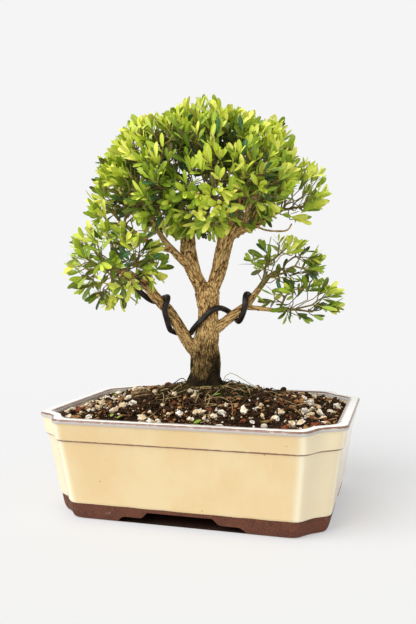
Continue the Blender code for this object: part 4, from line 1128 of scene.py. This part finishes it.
# Pairs down a shoot: (how far back from its end, splay in degrees, size)
PAIRS = ((0.0002, 13, 0.66), (0.0022, 26, 0.90), (0.0058, 37, 1.0), (0.0100, 47, 1.0),
         (0.0145, 56, 0.95), (0.0190, 62, 0.85))
PAIRS_AT_LEAST = 3
PAIR_LENGTHS = (0.007, 0.011, 0.015)  # shoot lengths that carry one more pair each
PAIR_TURNS = (0, 25, -25, 55, -55)
LEAF_STRAY = 8  # degrees
LEAF_SPACING = 0.0013
# Leaf colours from the youngest to the oldest, the darker ones also standing for painted shade, each as
# (blade, midrib)
TINTS = (
    ("lime", (0.820, 0.840, 0.120), (0.900, 0.910, 0.360)),
    ("bright", (0.590, 0.700, 0.055), (0.760, 0.800, 0.230)),
    ("fresh", (0.380, 0.520, 0.034), (0.570, 0.650, 0.140)),
    ("grass", (0.225, 0.345, 0.022), (0.400, 0.490, 0.100)),
    ("leaf", (0.125, 0.200, 0.014), (0.260, 0.330, 0.065)),
    ("deep", (0.048, 0.080, 0.007), (0.130, 0.160, 0.035)),
    ("olive", (0.110, 0.105, 0.020), (0.210, 0.195, 0.055)),
    ("blue", (0.055, 0.155, 0.050), (0.170, 0.290, 0.130)),
)
DEEP, OLIVE, BLUE = 5, 6, 7
ODD_SHARE = 0.16  # of the older leaves turn olive, and as many of the oldest bluish
OLIVE_AGE = 0.3
YOUNG_SHARE, YOUNGER = 0.22, 0.5  # how many shoots are this year's, and by how much
AGE_AND_SHADE_BY_DEPTH, AGE_DEPTH = 0.030, 8  # a shoot's age and painted shade for each millimetre inside, from this depth on
# partly painted shade: shoots on the crown's upper side are brighter, those below darker
AGE_AND_SHADE_BY_HEIGHT = 0.22
AGE_STRAY = 0.14
SHADED_MIDDLE = np.array((-0.004, 0.0, 0.288))  # painted shade: darker leaves about the crown's middle
SHADE_REACH, SHADE_AGE = 0.027, 0.55
BUD_SHARE, BUDS = 0.16, (4, 8)  # the share of shoots that end in flower buds, and how many
BUD_SEED, BUD_FORM = 31, (0.25, (0.85, 1.0), (0.85, 1.0))
BUD_SIZES, BUD_STRAY = (0.0006, 0.0012), 0.0012
TWIG_TAN, TWIG_BROWN = (0.34, 0.26, 0.085), (0.15, 0.110, 0.036)
BUD_CREAM, BUD_GREEN = (0.66, 0.52, 0.22), (0.44, 0.40, 0.12)


class Space:
    """Where one mass may grow: inside its form, on its side of the planes to the other masses, and
    clear of every limb."""

    def __init__(self, name, limbs):
        _, middle, half, fills_crown = MASSES[name][:4]
        self.middle, self.half, self.fills_crown = np.array(middle), np.array(half), fills_crown
        self.others = np.array([other[1] for key, other in MASSES.items() if key != name])
        self.limbs = limbs

    def depth(self, points):
        """How far each point lies inside the form, about, in metres."""
        own = np.linalg.norm((points - self.middle) / self.half, axis=-1)
        found = (1 - own) * self.half.mean()
        if self.fills_crown:
            offset = points - CROWN_MIDDLE
            half = np.where(offset < 0, CROWN_OTHER_HALF, CROWN_HALF)
            whole = np.linalg.norm(offset / half, axis=-1)
            found = np.maximum(found, (1 - whole) * half.mean(axis=-1))
        return found

    def from_plane(self, points):
        """How far each point lies on its own side of the nearest plane."""
        towards = self.others - self.middle
        span = np.linalg.norm(towards, axis=1)
        return (span / 2 - (points - self.middle) @ (towards / span[:, None]).T).min(axis=-1)

    def from_limbs(self, points):
        away = np.linalg.norm(points[:, None, :] - self.limbs[None, :, :3], axis=2)
        return (away - self.limbs[:, 3]).min(axis=1)


def twig_ends(space, count, depth_limit, candidates, found, rng):
    """Twig ends spread through a space, each the best of several places at keeping its distance."""
    reach = np.abs(space.others - space.middle).max(axis=0) if space.fills_crown else space.half
    grid = space.middle + rng.uniform(-1, 1, (GRID_POINTS, 3)) * np.minimum(reach, MASS_REACH)
    grid = grid[(space.depth(grid) > depth_limit) & (space.from_plane(grid) > TIP_FROM_PLANE)]
    grid = grid[space.from_limbs(grid) > TIP_FROM_LIMB]
    depths = space.depth(grid)
    kept = list(found)
    for _ in range(count):
        picks = rng.integers(0, len(grid), candidates)
        rooms = [min([ROOM_ENOUGH] + [np.linalg.norm(grid[k] - other) for other in kept])
                 - DEEP_TIP * (depths[k] - depth_limit) for k in picks]
        kept.append(grid[picks[int(np.argmax(rooms))]])
    return kept[len(found):]


class Twig:
    """One branching twig as joined points, each with the way back to its parent."""

    def __init__(self, base, heading):
        self.points = [base, base + heading * STEM_LENGTH]
        self.parents, self.paths = [-1, 0], [0.0, STEM_LENGTH]

    def heading(self, k):
        way = self.points[k] - self.points[self.parents[k]]
        return way / np.linalg.norm(way)

    def join(self, target, space, rng):
        """Grows to a target from the point that serves it best and has a clear way there."""
        ways = target - np.array(self.points[1:])
        lengths = np.linalg.norm(ways, axis=1)
        if lengths.min() < TOO_SHORT:
            return None
        headings = np.array([self.heading(k) for k in range(1, len(self.points))])
        turns = 1 - (ways * headings).sum(axis=1) / lengths
        costs = lengths * (1 + BACKWARD * turns) + BALANCE * np.array(self.paths[1:])
        for start in 1 + np.argsort(costs)[:STARTS]:
            for bend in BENDS:
                route = self.way(int(start), target, bend, rng)
                if self.is_clear(route, space):
                    return self.add(int(start), route)
        return None

    def way(self, start, target, bend, rng):
        """A slightly kinked curve to the target that leaves a point along its heading."""
        origin = self.points[start]
        length = np.linalg.norm(target - origin)
        bend = origin + self.heading(start) * length * bend
        count = max(1, round(length / TWIG_STEP))
        route = [(1 - t) ** 2 * origin + 2 * t * (1 - t) * bend + t ** 2 * target
                 for t in np.arange(1, count + 1) / count]
        return [point + rng.normal(0, TWIG_KINK, 3) for point in route[:-1]] + [target]

    def is_clear(self, route, space):
        line = np.array(route)
        away = line[np.linalg.norm(line - self.points[0], axis=1) > STEM_LENGTH]
        return len(away) > 0 and space.from_limbs(away).min() > LEAF_CLEAR + TWIG_TIP_RADIUS

    def add(self, start, route):
        for point in route:
            self.points.append(point)
            self.parents.append(start)
            self.paths.append(self.paths[start] + np.linalg.norm(point - self.points[start]))
            start = len(self.points) - 1
        return start

    def runs(self):
        """The twig as runs of points, each from its fork to an end, and how many ends each point feeds."""
        counts, children = [0] * len(self.points), {}
        for k in range(len(self.points) - 1, -1, -1):
            counts[k] = max(counts[k], 1)
            if self.parents[k] >= 0:
                children.setdefault(self.parents[k], []).append(k)
                counts[self.parents[k]] += counts[k]
        found, starts = [], [[0]]
        while starts:
            run = starts.pop()
            while run[-1] in children:
                ways = sorted(children[run[-1]], key=lambda k: -counts[k])
                starts += [[run[-1], k] for k in ways[1:]]
                run.append(ways[0])
            found.append(run)
        return found, counts


def leaf_shapes(rng, kinds):
    """Leaves of unit length along +X that face +Z: two half blades with a narrow midrib between them."""
    found = []
    for _ in range(kinds):
        fold, arch_by, notch = rng.uniform(0.10, 0.34), rng.uniform(-0.10, 0.24), rng.uniform(0.0, 0.035)
        twist, wide = rng.normal(0, 0.18), LEAF_WIDTH_SHARE * rng.uniform(0.78, 1.08)
        points = []
        for x, half in LEAF_ROWS:
            for side in (-1, -RIB_SHARE, RIB_SHARE, 1):
                y = side * half * wide / 2
                z = abs(y) * fold - arch_by * x * x + y * twist * x
                points.append((x - (notch if x == 1.0 and abs(side) < 1 else 0.0), y, z))
        faces, kinds_of = [], []
        for row in range(len(LEAF_ROWS) - 1):
            for column in range(3):
                a = row * 4 + column
                faces.append((a, a + 4, a + 5, a + 1))
                kinds_of.append(column == 1)
        found.append((np.array(points), np.array(faces), np.array(kinds_of)))
    return found


def leaf_turn(growing, roll, splay):
    """A leaf's axes when it leaves a shoot at a roll and a splay: its length, its width and its face."""
    level = np.cross(growing, (0.0, 0.0, 1.0))
    level /= np.linalg.norm(level) + 1e-9
    out = level * math.cos(roll) + np.cross(growing, level) * math.sin(roll)
    length = growing * math.cos(splay) + out * math.sin(splay)
    face = growing * math.sin(splay) - out * math.cos(splay)
    return np.array((length, np.cross(face, length), face))


class Leaves:
    """The leaves of one piece, gathered as one mesh with a material for each tint."""

    def __init__(self):
        self.points, self.faces, self.tints, self.middles = [], [], [], []
        self.count = 0

    def add(self, shape, axes, root, size, tint):
        points, faces, rib = shape
        self.points.append(points @ axes * size + root)
        self.faces.append(faces + self.count)
        self.tints.append(np.where(rib, 2 * tint + 1, 2 * tint))
        self.middles.append(root + axes[0] * size * MIDDLE_SHARE)
        self.count += len(points)

    def make(self, name, materials):
        return mesh_object(name, np.vstack(self.points), np.vstack(self.faces), materials,
                           np.concatenate(self.tints))


def leaf_materials():
    found = []
    for name, blade, rib in TINTS:
        for part, colour in (("blade", blade), ("midrib", rib)):
            material = bpy.data.materials.new(f"leaf_{name}_{part}")
            material.use_nodes = True
            shader = material.node_tree.nodes["Principled BSDF"]
            shader.inputs["Base Color"].default_value = (*colour, 1.0)
            shader.inputs["Roughness"].default_value = 0.40
            shader.inputs["Specular IOR Level"].default_value = 0.32
            found.append(material)
    return found


def tint_of(age_and_shade, pair, rng):
    """A tint from the youngest to the oldest, for a spray's age and painted shade and a leaf's place down
    its shoot.
    """
    level = 5.4 * age_and_shade + 0.85 * pair - 0.7 + rng.normal(0, 0.5)
    if rng.uniform() < ODD_SHARE * age_and_shade and pair > 0:
        return BLUE
    if rng.uniform() < ODD_SHARE and age_and_shade > OLIVE_AGE:
        return OLIVE
    return int(np.clip(round(level), 0, DEEP))


def grow_leaves(leaves, shapes, space, end, growing, age_and_shade, pairs, rng):
    """Crossed pairs of leaves down one shoot."""
    first = rng.uniform(0, math.pi)
    overhang = rng.uniform(*OVERHANGS) * np.clip((CROWN_TOP - end[2]) / TOP_FADE, 0.05, 1)
    for pair, (back, splay, size) in enumerate(PAIRS[:pairs]):
        for side in (0, 1):
            length = rng.uniform(*LEAF_LENGTHS) * size
            for turn in PAIR_TURNS:
                roll = first + pair * math.pi / 2 + side * math.pi
                roll += math.radians(turn + rng.normal(0, LEAF_STRAY))
                axes = leaf_turn(growing, roll, math.radians(splay + rng.normal(0, LEAF_STRAY)))
                root = end - growing * back
                marks = root + axes[0] * length * np.array(LEAF_MARKS)[:, None]
                if space.depth(marks).min() < -overhang or space.from_plane(marks).min() < -CROSSING:
                    continue
                if space.from_limbs(marks).min() < LEAF_CLEAR:
                    continue
                if leaves.middles:
                    middle = root + axes[0] * length * MIDDLE_SHARE
                    if np.linalg.norm(np.array(leaves.middles) - middle, axis=1).min() < LEAF_SPACING:
                        continue
                leaves.add(shapes[rng.integers(len(shapes))], axes, root, length, tint_of(age_and_shade, pair, rng))
                break


class Buds:
    """The whole tree's flower buds, gathered as one mesh."""

    def __init__(self):
        self.rng = np.random.default_rng(BUD_SEED)
        self.shapes = lump_shapes(self.rng, 1, *BUD_FORM)
        self.parts = []

    def maybe_add(self, tip):
        """Ends a share of the shoots in a cluster of round buds between the last leaves."""
        if self.rng.uniform() >= BUD_SHARE:
            return
        for _ in range(self.rng.integers(*BUDS)):
            points, faces = self.shapes[self.rng.integers(len(self.shapes))]
            size = self.rng.uniform(*BUD_SIZES)
            self.parts.append((points * size + tip + self.rng.normal(0, BUD_STRAY, 3), faces))

    def make(self):
        scales = plain_grain("bud_scales", BUD_CREAM, BUD_GREEN, 900.0)
        tree_piece(mesh_object("flower_buds", *joined(self.parts), [scales]), "foliage")


def grow_mass(name, limbs, shapes, leaf_tints, twig_tones, buds):
    """One mass of foliage: its twigs, its leafy shoots, and its share of the flower buds."""
    limb, _, _, _, mains, seed, fines, years = MASSES[name]
    rng = np.random.default_rng(seed)
    space = Space(name, limbs)
    rows = smooth_route(LIMBS[limb], LIMB_STEP)
    heading = rows[-1, :3] - rows[-3, :3]
    heading /= np.linalg.norm(heading)
    base = rows[-1, :3] - heading * GAP
    twig = Twig(base, heading)
    main_ends = twig_ends(space, mains, MAIN_DEPTH, CANDIDATES, [], rng)
    for target in sorted(main_ends, key=lambda place: np.linalg.norm(place - base)):
        twig.join(target, space, rng)
    fine_ends = twig_ends(space, fines, FINE_DEPTH, FINE_CANDIDATES, main_ends, rng)
    fine_ends += [np.array(place) for place in LOW_ENDS.get(name, ())]
    for target in sorted(fine_ends, key=lambda place: np.linalg.norm(place - base)):
        twig.join(target, space, rng)
    with_children = set(twig.parents)
    heart = CROWN_MIDDLE if space.fills_crown else space.middle
    leaves = Leaves()
    bare = set()
    for end in [k for k in range(2, len(twig.points)) if k not in with_children]:
        outward = twig.points[end] - heart
        outward /= np.linalg.norm(outward)
        rise = UPRIGHT if space.fills_crown and outward[2] > LOW_SIDE else UPRIGHT_BELOW
        growing = ALONG_TWIG * twig.heading(end) + OUTWARD * outward + (0, 0, rise)
        growing += rng.normal(0, SHOOT_STRAY, 3)
        growing /= np.linalg.norm(growing)
        length = rng.uniform(*SHOOT_LENGTHS)
        while (length > SHORTEST_SHOOT
               and space.depth(twig.points[end] + growing * (length + LEAF_ROOM)) < 0):
            length *= SHORTENED
        middle = twig.points[end] + 0.5 * length * growing + rng.normal(0, 0.0006, 3)
        shoot = twig.add(end, [middle, twig.points[end] + growing * length])
        depth = float(space.depth(twig.points[shoot]))
        from_shade = np.linalg.norm((twig.points[shoot] - SHADED_MIDDLE)[[0, 2]])
        # age and painted shade together: deeper in, lower down and nearer the shaded middle is darker
        age_and_shade = years + AGE_AND_SHADE_BY_DEPTH * (depth * 1000 - AGE_DEPTH) + rng.normal(0, AGE_STRAY)
        age_and_shade -= AGE_AND_SHADE_BY_HEIGHT * outward[2]
        # painted shade about the crown's middle
        age_and_shade += SHADE_AGE * math.exp(-(from_shade / SHADE_REACH) ** 2)
        age_and_shade = np.clip(age_and_shade - YOUNGER * (rng.uniform() < YOUNG_SHARE), 0, 1)
        pairs = PAIRS_AT_LEAST + sum(length > least for least in PAIR_LENGTHS)
        before = leaves.count
        grow_leaves(leaves, shapes, space, twig.points[shoot], growing, age_and_shade, pairs, rng)
        if leaves.count == before:
            bare.add(shoot)
        buds.maybe_add(twig.points[shoot])
    runs, counts = twig.runs()
    forks = {run[0] for run in runs}
    for run in [run for run in runs if run[-1] in bare]:  # a shoot without leaves goes, back to its fork
        while len(run) > 1 and run[-1] not in forks:
            run.pop()
    power = math.log(rows[-1, 3] / TWIG_TIP_RADIUS) / math.log(max(counts[0], 2))
    tubes = []
    for run in [run for run in runs if len(run) > 1]:
        radii = np.array([TWIG_TIP_RADIUS * counts[k] ** power for k in run])
        radii[0] = min(radii[0], radii[1] * FORK_SWELL)
        tubes.append((np.array([twig.points[k] for k in run]), radii))
    vertices, faces = thin_tubes(tubes, TWIG_SIDES)
    tree_piece(mesh_object("twigs_" + name, vertices, faces, twig_tones), "bark", "foliage_" + name)
    tree_piece(leaves.make("leaves_" + name, leaf_tints), "foliage", "foliage_" + name)


flower_buds = Buds()
leaf_kinds = leaf_shapes(np.random.default_rng(LEAF_SEED), LEAF_KINDS)
leaf_tints = leaf_materials()
twig_tones = [plain_grain("twig_bark", TWIG_TAN, TWIG_BROWN, 500.0)]
all_limbs = np.vstack([smooth_route(rows, LIMB_STEP) for rows in LIMBS.values()] + [wire_route])
for mass in MASSES:
    grow_mass(mass, all_limbs, leaf_kinds, leaf_tints, twig_tones, flower_buds)
flower_buds.make()

# ================================================================ the studio
# A wide pale table, lit from below except under the pot so that its shadows stay light. An even white sky
# and one soft light from the front left stand over it, and the camera is a little above the pot's rim.
# Under the pot a dark sheet on the table paints the shadow there.

TABLE_SHADE, TABLE_GLOW = (0.396, 0.398, 0.407), 0.411
# painted shadow: the colour of the sheet under the pot
UNDER_POT_PAINTED_SHADOW = (0.060, 0.034, 0.024)
COVER_LIFT = 0.00005
FLOOR_REACH = 12.0
HORIZON_STRENGTH, ZENITH_STRENGTH = 0.913, 0.50
SKY_FADE = (0.40, 0.75)  # from the horizon's light to the zenith's, as heights on the sky's sphere
SUN_STRENGTH, SUN_COLOUR = 2.7, (1.0, 0.985, 0.955)
SUN_SPREAD = math.radians(52)
SUN_FROM = (-0.75, -1.0, 1.35)
CAMERA_PLACE = (0.163, -0.5366, 0.1847)
CAMERA_YAW, CAMERA_PITCH, CAMERA_ROLL = 16.68, -2.43, -0.76
CAMERA_LENS = 37.88
CAMERA_FILM = 36.0


def table_top(name, shade, glow):
    material = bpy.data.materials.new(name)
    material.use_nodes = True
    shader = material.node_tree.nodes["Principled BSDF"]
    shader.inputs["Base Color"].default_value = (*shade, 1)
    shader.inputs["Roughness"].default_value = 1.0
    shader.inputs["Specular IOR Level"].default_value = 0.0
    shader.inputs["Emission Color"].default_value = (1.0, 1.0, 1.0, 1)
    shader.inputs["Emission Strength"].default_value = glow
    return material


def make_floor():
    corners = [(x * FLOOR_REACH, y * FLOOR_REACH, 0.0) for x, y in ((-1, -1), (1, -1), (1, 1), (-1, 1))]
    lit = table_top("lit_table", TABLE_SHADE, TABLE_GLOW)
    mesh_object("floor", corners, [(0, 1, 2, 3)], [lit])
    # a dark sheet under the pot, as painted shadow
    under = pot_ring(POT_OUTSIDE[0][0], COVER_LIFT, CORNER_CUTS[0], CORNER_BOWS[0])
    mesh_object("shadow_sheet_under_pot", under, [tuple(range(len(under)))],
                         [table_top("painted_shadow_table", UNDER_POT_PAINTED_SHADOW, 0.0)])


def make_light():
    world = bpy.data.worlds.new("sky")
    world.use_nodes = True
    world.node_tree.nodes["Background"].inputs["Color"].default_value = (1.0, 1.0, 1.0, 1)
    nodes, links = world.node_tree.nodes, world.node_tree.links
    split = nodes.new("ShaderNodeSeparateXYZ")
    links.new(nodes.new("ShaderNodeTexCoord").outputs["Generated"], split.inputs[0])
    fade = nodes.new("ShaderNodeMapRange")
    for key, number in zip(("From Min", "From Max", "To Min", "To Max"),
                           (*SKY_FADE, HORIZON_STRENGTH, ZENITH_STRENGTH)):
        fade.inputs[key].default_value = number
    links.new(split.outputs["Z"], fade.inputs["Value"])
    links.new(fade.outputs["Result"], nodes["Background"].inputs["Strength"])
    bpy.context.scene.world = world
    sun = bpy.data.lights.new("daylight", "SUN")
    sun.energy = SUN_STRENGTH
    sun.angle = SUN_SPREAD
    sun.color = SUN_COLOUR
    made = bpy.data.objects.new("daylight", sun)
    made.rotation_euler = Vector(SUN_FROM).to_track_quat("Z", "Y").to_euler()
    bpy.context.scene.collection.objects.link(made)


def make_camera():
    camera = bpy.data.cameras.new("camera")
    camera.sensor_fit = "VERTICAL"
    camera.sensor_height = CAMERA_FILM
    camera.lens = CAMERA_LENS
    made = bpy.data.objects.new("camera", camera)
    turn = (Matrix.Rotation(math.radians(CAMERA_YAW), 4, "Z")
            @ Matrix.Rotation(math.radians(90 + CAMERA_PITCH), 4, "X")
            @ Matrix.Rotation(math.radians(CAMERA_ROLL), 4, "Z"))
    made.matrix_world = Matrix.Translation(CAMERA_PLACE) @ turn
    bpy.context.scene.collection.objects.link(made)
    bpy.context.scene.camera = made


make_floor()
make_light()
make_camera()
bpy.context.scene.view_settings.view_transform = "Standard"
